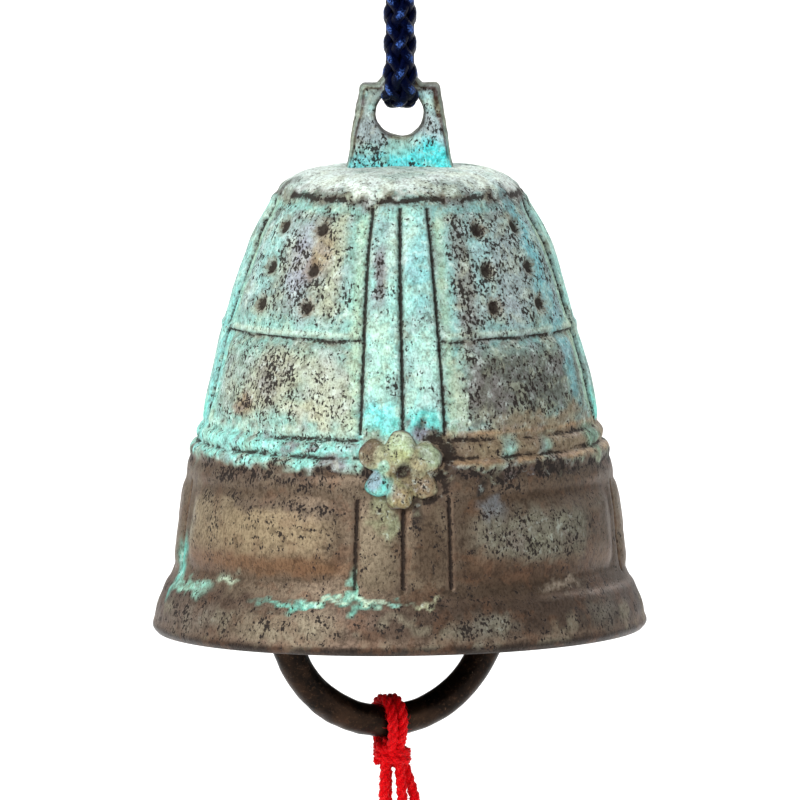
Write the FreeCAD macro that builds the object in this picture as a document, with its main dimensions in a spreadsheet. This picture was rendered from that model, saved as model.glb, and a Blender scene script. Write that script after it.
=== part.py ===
import FreeCAD, Part
import math
import os

import Sketcher
from FreeCAD import Placement, Rotation, Vector

# A small hanging bell in the form of a temple bell, with its cord, its ring clapper and the clapper's string.
# Heights are measured up from the plane of the lip, and every finished piece is lowered by hook_height, so that
# the row's origin is the centre of the hook or nail that the cord's loop hangs from. Front is -Y, right is +X.

SIZES = {
    # the hook that the cord's loop hangs from, above the lip
    "hook_height": 86.0,
    # bell: radius and height of each corner of the wall's outline, from the lip up
    "wall_thickness": 3.0,
    "crown_wall": 3.7,
    "lip_foot_radius": 29.7,
    "lip_radius": 30.25,
    "lip_edge": 0.6,
    "flare_radius": 28.15,
    "flare_height": 6.6,
    "foot_radius": 27.4,
    "foot_height": 8.8,
    "belt_foot_radius": 25.3,
    "belt_foot_height": 21.4,
    "belt_middle_radius": 24.7,
    "belt_middle_height": 23.5,
    "belt_top_radius": 24.15,
    "belt_top_height": 25.4,
    "line_foot_radius": 21.5,
    "line_foot_height": 37.1,
    "line_top_radius": 21.28,
    "line_top_height": 37.9,
    "shoulder_radius": 18.5,
    "shoulder_height": 46.3,
    "crown_edge_radius": 14.05,
    "crown_edge_height": 54.2,
    "crown_ring_radius": 8.1,
    "crown_ring_height": 56.4,
    "crown_height": 56.9,
    # bell: how each stretch of the outline is curved
    "flare_curve": 8.0,
    "foot_curve": 3.5,
    "lower_wall_curve": 68.9,
    "upper_wall_curve": 108.8,
    "shoulder_curve": 25.0,
    "crown_edge_curve": 12.2,
    "bead_curve": 1.5,
    "line_curve": 0.5,
    # bell: four raised double bands, one strip each side of a groove, broken by the belt
    "band_proud": 0.45,
    "band_root": 1.65,
    "lower_band_foot_gap": 0.25,
    "lower_band_top_gap": 1.6,
    "upper_band_foot_gap": 0.8,
    "upper_band_top_gap": 1.3,
    "strip_angle": 11.2,
    "strip_middle": 6.2,
    # bell: pits in the upper panels
    "pit_curve": 0.75,
    "pit_proud": 0.3,
    "pit_spread": 11.0,
    # bell: blossom boss, front and back
    "blossom_height": 22.0,
    "blossom_face": 26.6,
    "blossom_depth": 3.0,
    "petal_notch": 3.9,
    "petal_curve": 2.05,
    "heart_curve": 0.8,
    # bell: lug and its eye
    "lug_thickness": 4.5,
    "lug_foot_height": 55.0,
    "lug_foot_half": 6.5,
    "lug_top_height": 66.6,
    "lug_top_half": 4.75,
    "lug_arch": 4.9,
    "lug_corner": 0.7,
    "lug_bevel": 0.5,
    "eye_radius": 2.93,
    "eye_height": 63.3,
    "eye_rim": 1.3,
    # clapper: staple, link and ring, turned together about the upright
    "clapper_yaw": 25.0,
    "clapper_offset": -1.4,
    "staple_wire": 1.6,
    "staple_half_span": 2.7,
    "staple_top": 54.4,
    "staple_bar_height": 49.8,
    "staple_bend": 1.7,
    "link_wire": 1.6,
    "staple_eye_inner": 1.5,
    "ring_eye_inner": 2.6,
    "link_clearance": 0.1,
    "ring_radius": 14.3,
    "ring_section": 1.93,
    "ring_height": 2.85,
    # hanging cord, with both legs tied together over the hook
    "cord_diameter": 3.6,
    "cord_clearance": 0.12,
    "cord_fork_height": 84.0,
    "cord_fork_curve": 14.4,
    "cord_join_height": 93.6,
    "cord_join_half": 1.9,
    "cord_knot_height": 98.2,
    "cord_knot_half_width": 6.2,
    "cord_knot_half_height": 5.4,
    "cord_knot_half_depth": 5.2,
    "cord_end_length": 8.0,
    "cord_end_lean": 24.0,
    "cord_end_gap": 1.0,
    # clapper string, one yarn doubled
    "yarn_diameter": 1.3,
    "loop_clearance": 0.15,
    "loop_gap": 0.06,
    "tie_knot_height": -15.35,
    "tie_knot_shift": 0.3,
    "tie_knot_half_width": 2.25,
    "tie_knot_half_depth": 2.0,
    "tie_knot_half_height": 1.5,
    "end_knot_height": -47.6,
    "end_knot_half_width": 2.3,
    "end_knot_half_height": 2.0,
    "tassel_length": 5.5,
}

# Routes of the four tails: x, y across and height above the lip, from the tie knot down to the end knot.
TAIL_ROUTES = [
    [(-1.75, -0.72, -16.0), (-2.0, -0.85, -21.4), (-2.3, -1.0, -29.5), (-1.8, -0.95, -38.5), (-0.95, -0.7, -46.6)],
    [(-1.6, 0.72, -16.0), (-1.55, 0.9, -21.8), (-1.9, 1.15, -30.3), (-1.6, 1.05, -39.0), (-0.95, 0.7, -46.6)],
    [(-0.2, -0.72, -16.0), (0.45, -0.75, -21.2), (0.25, -0.95, -29.0), (0.55, -1.0, -38.0), (0.42, -0.7, -46.6)],
    [(0.05, 0.72, -15.9), (2.0, 0.5, -20.6), (2.75, 0.6, -28.5), (1.9, 0.95, -38.2), (0.42, 0.7, -46.6)],
]

PIT_HEIGHTS = [50.2, 45.4, 41.0]
QUARTERS = 4
PETALS = 6

# A bend without a radius of its own takes up this share of the shorter of its two runs.
BEND_SHARE = 0.45
# How far a tube's volume may be from its section times its length.
TUBE_TOLERANCE = 0.01
# How deep the cord's and the yarn's free ends start inside their knots, as a share of the knot's half height.
END_START = 0.75

doc = FreeCAD.newDocument("TempleBell")
sheet = doc.addObject("Spreadsheet::Sheet", "Sizes")
for row, (alias, number) in enumerate(SIZES.items(), start=1):
    sheet.set(f"A{row}", alias)
    sheet.set(f"B{row}", str(number))
    sheet.setAlias(f"B{row}", alias)
doc.recompute()


class Size:
    """A length or angle as a number and as the expression over the sheet's cells that gives it."""

    def __init__(self, number, text):
        self.number = number
        self.text = text

    def __add__(self, other):
        other = as_size(other)
        return Size(self.number + other.number, f"({self.text} + {other.text})")

    def __sub__(self, other):
        other = as_size(other)
        return Size(self.number - other.number, f"({self.text} - {other.text})")

    def __mul__(self, factor):
        return Size(self.number * factor, f"({self.text} * {factor})")

    def __neg__(self):
        return Size(-self.number, f"(0 - {self.text})")


def as_size(value):
    return value if isinstance(value, Size) else Size(value, str(value))


def size(alias):
    return Size(sheet.get(alias), f"Sizes.{alias}")


def lowered(height):
    """A height above the lip as a height in the row's frame."""
    return as_size(height) - size("hook_height")


def bind(obj, **values):
    """Bind properties of an object to expressions over the sheet."""
    for name, value in values.items():
        setattr(obj, name, value.number)
        obj.setExpression(name, value.text)


def place(obj, x=0, y=0, z=0, rotation=Rotation()):
    """Turn an object and bind its position to the sheet."""
    spot = [as_size(value) for value in (x, y, z)]
    obj.Placement = Placement(Vector(*[value.number for value in spot]), rotation)
    for axis, value in zip("xyz", spot):
        obj.setExpression(f"Placement.Base.{axis}", value.text)


def primitive(kind, name, **values):
    obj = doc.addObject(kind, name)
    bind(obj, **values)
    return obj


def joined(name, pieces):
    fuse = doc.addObject("Part::MultiFuse", name)
    fuse.Shapes = pieces
    return fuse


# ---------------------------------------------------------------- sketches


def own_plane(body, role):
    return next(plane for plane in body.Origin.OriginFeatures if plane.Role == role)


def sketch_on(body, role, name, turn=0.0):
    """A sketch on one of the body's own planes, turned about the plane's upright."""
    sketch = body.newObject("Sketcher::SketchObject", name)
    sketch.AttachmentSupport = [(own_plane(body, role), "")]
    sketch.MapMode = "FlatFace"
    sketch.AttachmentOffset = Placement(Vector(), Rotation(Vector(0, 1, 0), turn))
    return sketch


def arc_middle(start, end, radius):
    """The middle of an arc that bulges to the right of the way from start to end."""
    chord = end - start
    across = Vector(chord.y, -chord.x, 0).normalize()
    half = chord.Length / 2
    rise = radius - math.sqrt(radius * radius - half * half)
    return (start + end) * 0.5 + across * rise


def hold(sketch, edge, end, corner):
    """Fix one end of an edge at a corner given as two sizes, measured from the sketch's origin."""
    for kind, axis, value in (("DistanceX", -2, corner[0]), ("DistanceY", -1, corner[1])):
        if value.number == 0:
            sketch.addConstraint(Sketcher.Constraint("PointOnObject", edge, end, axis))
        else:
            index = sketch.addConstraint(Sketcher.Constraint(kind, -1, 1, edge, end, value.number))
            sketch.setExpression(f"Constraints[{index}]", value.text)


def draw(sketch, corners, arcs=None):
    """Draw a closed outline. arcs gives the signed radius of each curved edge by the number of its first corner:
    above zero it bulges to the right of the way round, and below zero to the left."""
    arcs = arcs or {}
    spots = [Vector(x.number, y.number, 0) for x, y in corners]
    ends = []
    for number, start in enumerate(spots):
        finish = spots[(number + 1) % len(spots)]
        if number in arcs:
            radius = arcs[number]
            if radius.number > 0:
                middle = arc_middle(start, finish, radius.number)
            else:
                middle = arc_middle(finish, start, -radius.number)
            edge = sketch.addGeometry(Part.Arc(start, middle, finish), False)
            strength = radius if radius.number > 0 else -radius
            index = sketch.addConstraint(Sketcher.Constraint("Radius", edge, strength.number))
            sketch.setExpression(f"Constraints[{index}]", strength.text)
        else:
            edge = sketch.addGeometry(Part.LineSegment(start, finish), False)
        first = 1 if sketch.getPoint(edge, 1).distanceToPoint(start) < 1e-6 else 2
        ends.append((edge, first, 3 - first))
    for number, (edge, first, _) in enumerate(ends):
        before, _, last = ends[number - 1]
        sketch.addConstraint(Sketcher.Constraint("Coincident", before, last, edge, first))
        hold(sketch, edge, first, corners[number])
    return sketch


def turned(body, kind, sketch, name, angle=None):
    """Revolve a sketch about its own upright axis, as a Revolution or a Groove."""
    feature = body.newObject(f"PartDesign::{kind}", name)
    feature.Profile = sketch
    feature.ReferenceAxis = (sketch, ["V_Axis"])
    if angle is None:
        feature.Angle = 360
    else:
        feature.Midplane = True
        bind(feature, Angle=angle)
    body.Tip = feature
    doc.recompute()
    return feature


def edges_where(feature, wanted):
    return [f"Edge{number}" for number, edge in enumerate(feature.Shape.Edges, start=1) if wanted(edge)]


# ---------------------------------------------------------------- bell

ZERO = as_size(0)


def corners_at(*names):
    return [(size(f"{name}_radius"), size(f"{name}_height")) for name in names]


def wall_outline():
    """Corners of the bell's outside, from the lip's foot to the crown, and the curves between them."""
    corners = [
        (size("lip_foot_radius"), ZERO),
        (size("lip_radius"), size("lip_edge")),
        *corners_at("flare", "foot", "belt_foot", "belt_middle", "belt_top", "line_foot", "line_top"),
        *corners_at("shoulder", "crown_edge", "crown_ring"),
        (ZERO, size("crown_height")),
    ]
    curves = {
        1: size("flare_curve"),
        2: -size("foot_curve"),
        3: size("lower_wall_curve"),
        4: size("bead_curve"),
        5: size("bead_curve"),
        6: size("upper_wall_curve"),
        7: size("line_curve"),
        8: size("upper_wall_curve"),
        9: size("shoulder_curve"),
        10: size("crown_edge_curve"),
    }
    return corners, curves


def cavity_outline():
    """The bell's inside: the outside less the wall, and plain where the outside has its lip, belt and crown edge."""
    wall = size("wall_thickness")
    crown_wall = size("crown_wall")
    corners = [
        (ZERO, ZERO),
        (size("lip_foot_radius") - wall, ZERO),
        *[(x - wall, y) for x, y in corners_at("foot", "belt_top", "shoulder")],
        (size("crown_ring_radius"), size("crown_ring_height") - crown_wall),
        (ZERO, size("crown_height") - crown_wall),
    ]
    curves = {
        2: size("lower_wall_curve") - wall,
        3: size("upper_wall_curve") - wall,
        4: size("shoulder_curve") - wall,
    }
    return corners, curves


def strip_section(stations, foot_gap, top_gap, curves):
    """Section of one raised strip: the wall's own outline set proud, and closed inside the wall."""
    proud = size("band_proud")
    root = size("band_root")
    outer = [(x + proud, y) for x, y in corners_at(*stations)]
    outer[0] = (outer[0][0], outer[0][1] + foot_gap)
    outer[-1] = (outer[-1][0], outer[-1][1] - top_gap)
    inner = [(x - root, y) for x, y in reversed(outer)]
    return outer + inner, {number: size(curve) + proud for number, curve in enumerate(curves)}


def strip_sections():
    """The strips below the belt and above it."""
    return {
        "Lower": strip_section(
            ["foot", "belt_foot"], size("lower_band_foot_gap"), size("lower_band_top_gap"), ["lower_wall_curve"]
        ),
        "Upper": strip_section(
            ["belt_top", "shoulder", "crown_edge"],
            size("upper_band_foot_gap"),
            size("upper_band_top_gap"),
            ["upper_wall_curve", "shoulder_curve"],
        ),
    }


def bell_lug(body):
    """Trapezoid lug with an arched top, and its eye with rounded rims."""
    eye_height = size("eye_height")
    arch_rise = size("lug_top_height").number - eye_height.number
    arch_half = as_size(math.sqrt(size("lug_arch").number ** 2 - arch_rise**2))
    foot = size("lug_foot_height")
    top = size("lug_top_height")
    corners = [
        (-size("lug_foot_half"), foot),
        (size("lug_foot_half"), foot),
        (size("lug_top_half"), top),
        (arch_half, top),
        (-arch_half, top),
        (-size("lug_top_half"), top),
    ]
    outline = draw(sketch_on(body, "XZ_Plane", "LugOutline"), corners, {3: size("lug_arch")})
    doc.recompute()
    lug = body.newObject("PartDesign::Pad", "Lug")
    lug.Profile = outline
    lug.Midplane = True
    bind(lug, Length=size("lug_thickness"))
    doc.recompute()
    half = size("lug_thickness").number / 2
    sides = body.newObject("PartDesign::Fillet", "LugCorners")
    sides.Base = (lug, edges_where(lug, is_lug_corner))
    bind(sides, Radius=size("lug_corner"))
    doc.recompute()
    bevel = body.newObject("PartDesign::Chamfer", "LugBevel")
    bevel.Base = (sides, edges_where(sides, lambda edge: is_lug_face_edge(edge, half)))
    bind(bevel, Size=size("lug_bevel"))
    doc.recompute()
    eye = sketch_on(body, "XZ_Plane", "EyeCircle")
    ring = eye.addGeometry(Part.Circle(Vector(0, eye_height.number, 0), Vector(0, 0, 1), 2), False)
    hold(eye, ring, 3, (ZERO, eye_height))
    index = eye.addConstraint(Sketcher.Constraint("Radius", ring, size("eye_radius").number))
    eye.setExpression(f"Constraints[{index}]", size("eye_radius").text)
    doc.recompute()
    least_cut = math.pi * size("eye_radius").number ** 2 * half
    hole = body.newObject("PartDesign::Pocket", "Eye")
    hole.Profile = eye
    hole.Type = "ThroughAll"
    hole.Midplane = True
    doc.recompute()
    if hole.Shape.Volume > bevel.Shape.Volume - least_cut:
        raise RuntimeError("the lug's eye cut nothing")
    rim = body.newObject("PartDesign::Fillet", "EyeRim")
    rim.Base = (hole, edges_where(hole, lambda edge: is_eye_rim(edge, half)))
    bind(rim, Radius=size("eye_rim"))
    body.Tip = rim
    doc.recompute()
    return rim


def is_lug_corner(edge):
    """Whether an edge runs front to back at one of the lug's two top corners."""
    box = edge.BoundBox
    return (
        box.XLength < 1e-6
        and box.ZLength < 1e-6
        and abs(abs(box.XMin) - size("lug_top_half").number) < 1e-3
    )


def is_lug_face_edge(edge, half):
    """Whether an edge lies round the lug's front or back face, above the crown."""
    box = edge.BoundBox
    flat = box.YLength < 1e-6 and abs(abs(box.YMin) - half) < 1e-6
    return flat and box.ZMax > size("crown_height").number + 1


def is_eye_rim(edge, half):
    box = edge.BoundBox
    round_edge = isinstance(edge.Curve, Part.Circle) and abs(edge.Curve.Radius - size("eye_radius").number) < 1e-6
    return round_edge and box.YLength < 1e-6 and abs(abs(box.YMin) - half) < 1e-6


def bell_strips(body):
    """Two raised strips beside the middle of each of the four sides."""
    strips = []
    turn = size("strip_middle")
    for level, (corners, curves) in strip_sections().items():
        for side, name in ((1, "Left"), (-1, "Right")):
            section = draw(sketch_on(body, "XZ_Plane", f"{level}{name}StripSection"), corners, curves)
            section.AttachmentOffset = Placement(Vector(), Rotation(Vector(0, side, 0), turn.number))
            section.setExpression("AttachmentOffset.Rotation.Angle", turn.text)
            doc.recompute()
            strips.append(turned(body, "Revolution", section, f"{level}{name}Strip", size("strip_angle")))
    return patterned(body, "StripPattern", strips, QUARTERS)


def patterned(body, name, originals, count):
    """Repeat features round the bell's upright axis."""
    pattern = body.newObject("PartDesign::PolarPattern", name)
    pattern.Originals = originals
    pattern.Axis = (own_axis(body, "Z_Axis"), [""])
    pattern.Angle = 360
    pattern.Occurrences = count
    body.Tip = pattern
    doc.recompute()
    return pattern


def own_axis(body, role):
    return next(axis for axis in body.Origin.OriginFeatures if axis.Role == role)


def outer_radius(height):
    """The wall's outer radius at a height above the thin line."""
    stretches = [("line_top", "shoulder", "upper_wall_curve"), ("shoulder", "crown_edge", "shoulder_curve")]
    for low, high, curve in stretches:
        start, end = [Vector(x.number, y.number, 0) for x, y in corners_at(low, high)]
        if start.y <= height <= end.y:
            radius = size(curve).number
            middle = arc_middle(start, end, radius)
            centre = Part.Arc(start, middle, end).toShape().Curve.Center
            return centre.x + math.sqrt(radius**2 - (height - centre.y) ** 2)
    raise ValueError(f"no wall at {height}")


def bell_pits(body):
    """Two upright rows of small round pits in each upper panel, one quarter of them patterned round the bell."""
    pits = []
    spread = size("pit_spread").number
    for row, height in enumerate(PIT_HEIGHTS, start=1):
        reach = outer_radius(height) + size("pit_proud").number
        for column, turn in (("A", 45 - spread), ("B", 45 + spread)):
            angle = math.radians(turn)
            pit = body.newObject("PartDesign::SubtractiveSphere", f"Pit{column}{row}")
            bind(pit, Radius=size("pit_curve"))
            place(pit, reach * math.cos(angle), reach * math.sin(angle), height)
            body.Tip = pit
            doc.recompute()
            pits.append(pit)
    return patterned(body, "PitPattern", pits, QUARTERS)


def bell_blossoms(body):
    """A six-petalled blossom with a dimpled heart as the striking boss, on the front and on the back."""
    notch = size("petal_notch")
    height = size("blossom_height")
    corners = []
    for number in range(PETALS):
        angle = math.radians(90 + (number - 0.5) * 360 / PETALS)
        corners.append((notch * round(math.cos(angle), 6), height + notch * round(math.sin(angle), 6)))
    curves = {number: size("petal_curve") for number in range(PETALS)}
    for side, name in ((1, "Front"), (-1, "Back")):
        face = size("blossom_face") * side
        outline = draw(sketch_on(body, "XZ_Plane", f"{name}BlossomOutline"), corners, curves)
        outline.AttachmentOffset = Placement(Vector(0, 0, face.number), Rotation())
        outline.setExpression("AttachmentOffset.Base.z", face.text)
        doc.recompute()
        blossom = body.newObject("PartDesign::Pad", f"{name}Blossom")
        blossom.Profile = outline
        blossom.Reversed = side > 0
        bind(blossom, Length=size("blossom_depth"))
        body.Tip = blossom
        doc.recompute()
        heart = body.newObject("PartDesign::SubtractiveSphere", f"{name}BlossomHeart")
        bind(heart, Radius=size("heart_curve"))
        place(heart, 0, -face, height)
        body.Tip = heart
        doc.recompute()


def make_bell():
    body = doc.addObject("PartDesign::Body", "Bell")
    body.Label = "bell"
    corners, curves = wall_outline()
    outside = draw(sketch_on(body, "XZ_Plane", "Outside"), corners + [(ZERO, ZERO)], curves)
    doc.recompute()
    solid = turned(body, "Revolution", outside, "Wall")
    bell_lug(body)
    bell_strips(body)
    bell_blossoms(body)
    bell_pits(body)
    corners, curves = cavity_outline()
    inside = draw(sketch_on(body, "XZ_Plane", "Inside"), corners, curves)
    doc.recompute()
    hollow = turned(body, "Groove", inside, "Hollow")
    if hollow.Shape.Volume > solid.Shape.Volume / 2:
        raise RuntimeError("the bell's hollow cut nothing")
    body.setExpression("Placement.Base.z", lowered(0).text)
    return body


# ---------------------------------------------------------------- tubes


def bent_path(points, radii=None):
    """Straight runs through the points, joined by tangent arcs. Where no radius is given, an arc is as large as
    its two runs allow. Returns the wire and the arcs' radii."""
    points = [Vector(*point) for point in points]
    edges = []
    used = []
    last = points[0]
    for number in range(1, len(points) - 1):
        before, here, after = points[number - 1 : number + 2]
        back = (before - here).normalize()
        on = (after - here).normalize()
        half_turn = (math.pi - back.getAngle(on)) / 2
        reach = BEND_SHARE * min((before - here).Length, (after - here).Length)
        radius = reach / math.tan(half_turn)
        if radii:
            radius = radii[number - 1]
            reach = radius * math.tan(half_turn)
        start = here + back * reach
        end = here + on * reach
        bisector = (back + on).normalize()
        middle = here + bisector * (radius / math.cos(half_turn) - radius)
        edges.append(Part.LineSegment(last, start).toShape())
        edges.append(Part.Arc(start, middle, end).toShape())
        used.append(radius)
        last = end
    edges.append(Part.LineSegment(last, points[-1]).toShape())
    return Part.Wire(edges), used


def tube(name, points, diameter, radii=None):
    """A round tube along a bent path, its volume compared with its section times its length."""
    path, used = bent_path(points, radii)
    start = path.Edges[0].valueAt(path.Edges[0].FirstParameter)
    heading = path.Edges[0].tangentAt(path.Edges[0].FirstParameter)
    section = Part.Wire(Part.makeCircle(diameter / 2, start, heading))
    solid = path.makePipeShell([section], True, False)
    expected = math.pi * (diameter / 2) ** 2 * path.Length
    if abs(solid.Volume - expected) > TUBE_TOLERANCE * expected:
        raise RuntimeError(f"{name}: volume {solid.Volume:.2f}, expected {expected:.2f}")
    print(f"{name}: length {path.Length:.1f}, radii {[round(radius, 1) for radius in used]}")
    return solid


def feature_of(name, label, shape):
    obj = doc.addObject("Part::Feature", name)
    obj.Label = label
    obj.Shape = shape
    obj.Placement = Placement(Vector(0, 0, -size("hook_height").number), Rotation())
    return obj


# ---------------------------------------------------------------- clapper

YAW = size("clapper_yaw").number


def beside(along, across, height):
    """A point of the clapper: along the ring's plane and across it, from the clapper's upright axis."""
    angle = math.radians(YAW)
    x = size("clapper_offset").number + along * math.cos(angle) - across * math.sin(angle)
    y = along * math.sin(angle) + across * math.cos(angle)
    return (x, y, height)


def across_the_ring():
    """Rotation that lays a primitive's own upright across the ring's plane."""
    return Rotation(Vector(0, 0, 1), YAW).multiply(Rotation(Vector(1, 0, 0), 90))


def along_the_ring():
    """Rotation that lays a primitive's own upright along the ring's plane."""
    return Rotation(Vector(0, 0, 1), YAW).multiply(Rotation(Vector(0, 1, 0), 90))


def make_staple():
    """Wire staple with its legs cast into the crown and its bar across the ring's plane."""
    half = size("staple_half_span").number
    top = size("staple_top").number
    bar = size("staple_bar_height").number
    points = [beside(0, -half, top), beside(0, -half, bar), beside(0, half, bar), beside(0, half, top)]
    bend = size("staple_bend").number
    solid = tube("clapper_staple", points, size("staple_wire").number, [bend, bend])
    return feature_of("Staple", "clapper_staple", solid)


def make_link():
    """Straight wire with a round eye at each end, the lower one a quarter turn from the upper."""
    wire = size("link_wire") * 0.5
    upper_inner = size("staple_eye_inner")
    lower_inner = size("ring_eye_inner")
    gap = size("link_clearance")
    offset = size("clapper_offset")
    upper_height = size("staple_bar_height") - (upper_inner - size("staple_wire") * 0.5 - gap)
    ring_top = size("ring_height") + size("ring_radius")
    lower_height = ring_top + (lower_inner - size("ring_section") - gap)
    upper = primitive("Part::Torus", "StapleEye", Radius1=upper_inner + wire, Radius2=wire)
    place(upper, offset, 0, lowered(upper_height), across_the_ring())
    lower = primitive("Part::Torus", "RingEye", Radius1=lower_inner + wire, Radius2=wire)
    place(lower, offset, 0, lowered(lower_height), along_the_ring())
    bottom = lower_height + lower_inner + wire
    top = upper_height - upper_inner - wire
    shank = primitive("Part::Cylinder", "Shank", Radius=wire, Height=top - bottom)
    place(shank, offset, 0, lowered(bottom))
    link = joined("Link", [upper, shank, lower])
    link.Label = "clapper_link"
    return link


def make_ring():
    ring = primitive("Part::Torus", "Ring", Radius1=size("ring_radius"), Radius2=size("ring_section"))
    place(ring, size("clapper_offset"), 0, lowered(size("ring_height")), across_the_ring())
    ring.Label = "clapper_ring"
    return ring


# ---------------------------------------------------------------- hanging cord


def make_cord():
    """The cord through the lug's eye: down the front, round the lug's top bar, and up the back."""
    diameter = size("cord_diameter").number
    clearance = size("cord_clearance").number
    leg = (size("lug_thickness").number + diameter) / 2 + clearance
    bottom = size("eye_height").number + size("eye_radius").number - diameter / 2 - clearance
    join = size("cord_join_half").number
    fork_height = size("cord_fork_height").number
    join_height = size("cord_join_height").number
    points = [
        (0, -join, join_height),
        (0, -leg, fork_height),
        (0, -leg, bottom),
        (0, leg, bottom),
        (0, leg, fork_height),
        (0, join, join_height),
    ]
    turn = size("eye_rim").number + diameter / 2 + clearance
    fork = size("cord_fork_curve").number
    solid = tube("hanging_cord", points, diameter, [fork, turn, turn, fork])
    return feature_of("HangingCord", "hanging_cord", solid)


def make_cord_knot():
    """Outer shape of the overhand knot that ties both legs together."""
    knot = primitive(
        "Part::Ellipsoid",
        "CordKnot",
        Radius1=size("cord_knot_half_height"),
        Radius2=size("cord_knot_half_width"),
        Radius3=size("cord_knot_half_depth"),
    )
    place(knot, 0, 0, lowered(size("cord_knot_height")))
    knot.Label = "cord_knot"
    return knot


def make_cord_ends():
    """The cord's two short ends, leaning apart above the knot."""
    start = size("cord_knot_height").number + size("cord_knot_half_height").number * END_START
    radius = size("cord_diameter").number / 2
    length = size("cord_end_length").number
    lean = math.radians(size("cord_end_lean").number)
    gap = size("cord_end_gap").number
    ends = []
    for side in (-1, 1):
        foot = Vector(side * (radius + gap / 2), 0, start)
        heading = Vector(side * math.sin(lean), 0, math.cos(lean))
        ends.append(Part.makeCylinder(radius, length, foot, heading))
    return feature_of("CordEnds", "cord_ends", Part.makeCompound(ends))


# ---------------------------------------------------------------- clapper string


def make_string_loop():
    """Two turns of yarn side by side over the ring's lowest point."""
    yarn = size("yarn_diameter") * 0.5
    reach = size("ring_section") + size("loop_clearance") + yarn
    height = size("ring_height") - size("ring_radius")
    beside_middle = yarn.number + size("loop_gap").number / 2
    turns = []
    for side, name in ((-1, "First"), (1, "Second")):
        turn = primitive("Part::Torus", f"{name}Turn", Radius1=reach, Radius2=yarn)
        x, y, _ = beside(side * beside_middle, 0, 0)
        place(turn, x, y, lowered(height), along_the_ring())
        turns.append(turn)
    loop = joined("StringLoop", turns)
    loop.Label = "string_loop"
    return loop


def knot_shape(name, label, x, height, half_width, half_depth, half_height):
    knot = primitive("Part::Ellipsoid", name, Radius1=half_height, Radius2=half_width, Radius3=half_depth)
    place(knot, x, 0, lowered(height))
    knot.Label = label
    return knot


def make_tie_knot():
    return knot_shape(
        "TieKnot",
        "string_knot",
        size("clapper_offset") + size("tie_knot_shift"),
        size("tie_knot_height"),
        size("tie_knot_half_width"),
        size("tie_knot_half_depth"),
        size("tie_knot_half_height"),
    )


def end_knot_x():
    """Middle of the tails where they reach the end knot."""
    return sum(route[-1][0] for route in TAIL_ROUTES) / len(TAIL_ROUTES)


def make_end_knot():
    half_width = size("end_knot_half_width")
    height = size("end_knot_height")
    return knot_shape(
        "EndKnot", "string_end_knot", end_knot_x(), height, half_width, half_width, size("end_knot_half_height")
    )


def make_tails():
    diameter = size("yarn_diameter").number
    tails = []
    for number, route in enumerate(TAIL_ROUTES, start=1):
        label = f"string_tail_{number}"
        tails.append(feature_of(f"Tail{number}", label, tube(label, route, diameter)))
    return tails


def make_tassel():
    """The yarn's short free ends below the end knot."""
    radius = size("yarn_diameter").number / 2
    top = size("end_knot_height").number - size("end_knot_half_height").number * END_START
    ends = []
    for route in TAIL_ROUTES:
        x, y, _ = route[-1]
        ends.append(Part.makeCylinder(radius, size("tassel_length").number, Vector(x, y, top), Vector(0, 0, -1)))
    return feature_of("Tassel", "string_ends", Part.makeCompound(ends))


# ---------------------------------------------------------------- the whole row

pieces = [
    make_bell(),
    make_staple(),
    make_link(),
    make_ring(),
    make_cord(),
    make_cord_knot(),
    make_cord_ends(),
    make_string_loop(),
    make_tie_knot(),
    *make_tails(),
    make_end_knot(),
    make_tassel(),
]
doc.recompute()

for obj in doc.Objects:
    if {"Invalid", "Error"} & set(obj.State):
        raise RuntimeError(f"{obj.Name} failed: {obj.State}")

os.makedirs("parts", exist_ok=True)
for piece in pieces:
    shape = piece.Shape
    if shape.isNull() or not shape.isValid():
        raise RuntimeError(f"{piece.Label} has no valid shape")
    box = shape.BoundBox
    print(f"{piece.Label}: volume {shape.Volume:.1f}, z {box.ZMin:.2f} to {box.ZMax:.2f}, solids {len(shape.Solids)}")
    shape.exportStep(f"parts/{piece.Label}.step")
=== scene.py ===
import math
import random

import bmesh
import bpy
import numpy as np
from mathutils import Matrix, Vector


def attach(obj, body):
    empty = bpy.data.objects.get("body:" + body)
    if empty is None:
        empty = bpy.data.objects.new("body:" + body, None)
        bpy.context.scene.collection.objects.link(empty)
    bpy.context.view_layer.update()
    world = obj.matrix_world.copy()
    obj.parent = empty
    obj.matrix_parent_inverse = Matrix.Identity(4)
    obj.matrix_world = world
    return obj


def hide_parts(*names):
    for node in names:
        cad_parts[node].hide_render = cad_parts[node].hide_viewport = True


# The looks of a small hanging bell in the form of a temple bell, with its cord, its ring clapper and red yarn.
# Shapes are worked out in millimetres above the plane of the lip, as the part is designed, and
# row() turns them into metres in the row's frame, whose origin is the hook. Front is -Y, right is +X.

HOOK_HEIGHT = 86.0
MM = 0.001
CHANCE = random.Random(7)
FIELD = np.random.RandomState(11)

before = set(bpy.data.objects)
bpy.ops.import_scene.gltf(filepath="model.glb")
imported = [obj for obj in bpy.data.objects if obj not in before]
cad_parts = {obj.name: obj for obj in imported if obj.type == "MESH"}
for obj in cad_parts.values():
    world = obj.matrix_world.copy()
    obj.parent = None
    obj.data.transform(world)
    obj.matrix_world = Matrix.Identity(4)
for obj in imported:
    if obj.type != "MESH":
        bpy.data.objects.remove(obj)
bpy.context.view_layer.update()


def row(points):
    """Points in millimetres above the lip, as metres in the row's frame."""
    return (np.asarray(points, float) - (0, 0, HOOK_HEIGHT)) * MM


# ---------------------------------------------------------------- small mathematics


def smooth(low, high, value):
    """0 below low, 1 above high, and an S-shaped rise between."""
    share = np.clip((value - low) / (high - low), 0, 1)
    return share * share * (3 - 2 * share)


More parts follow.
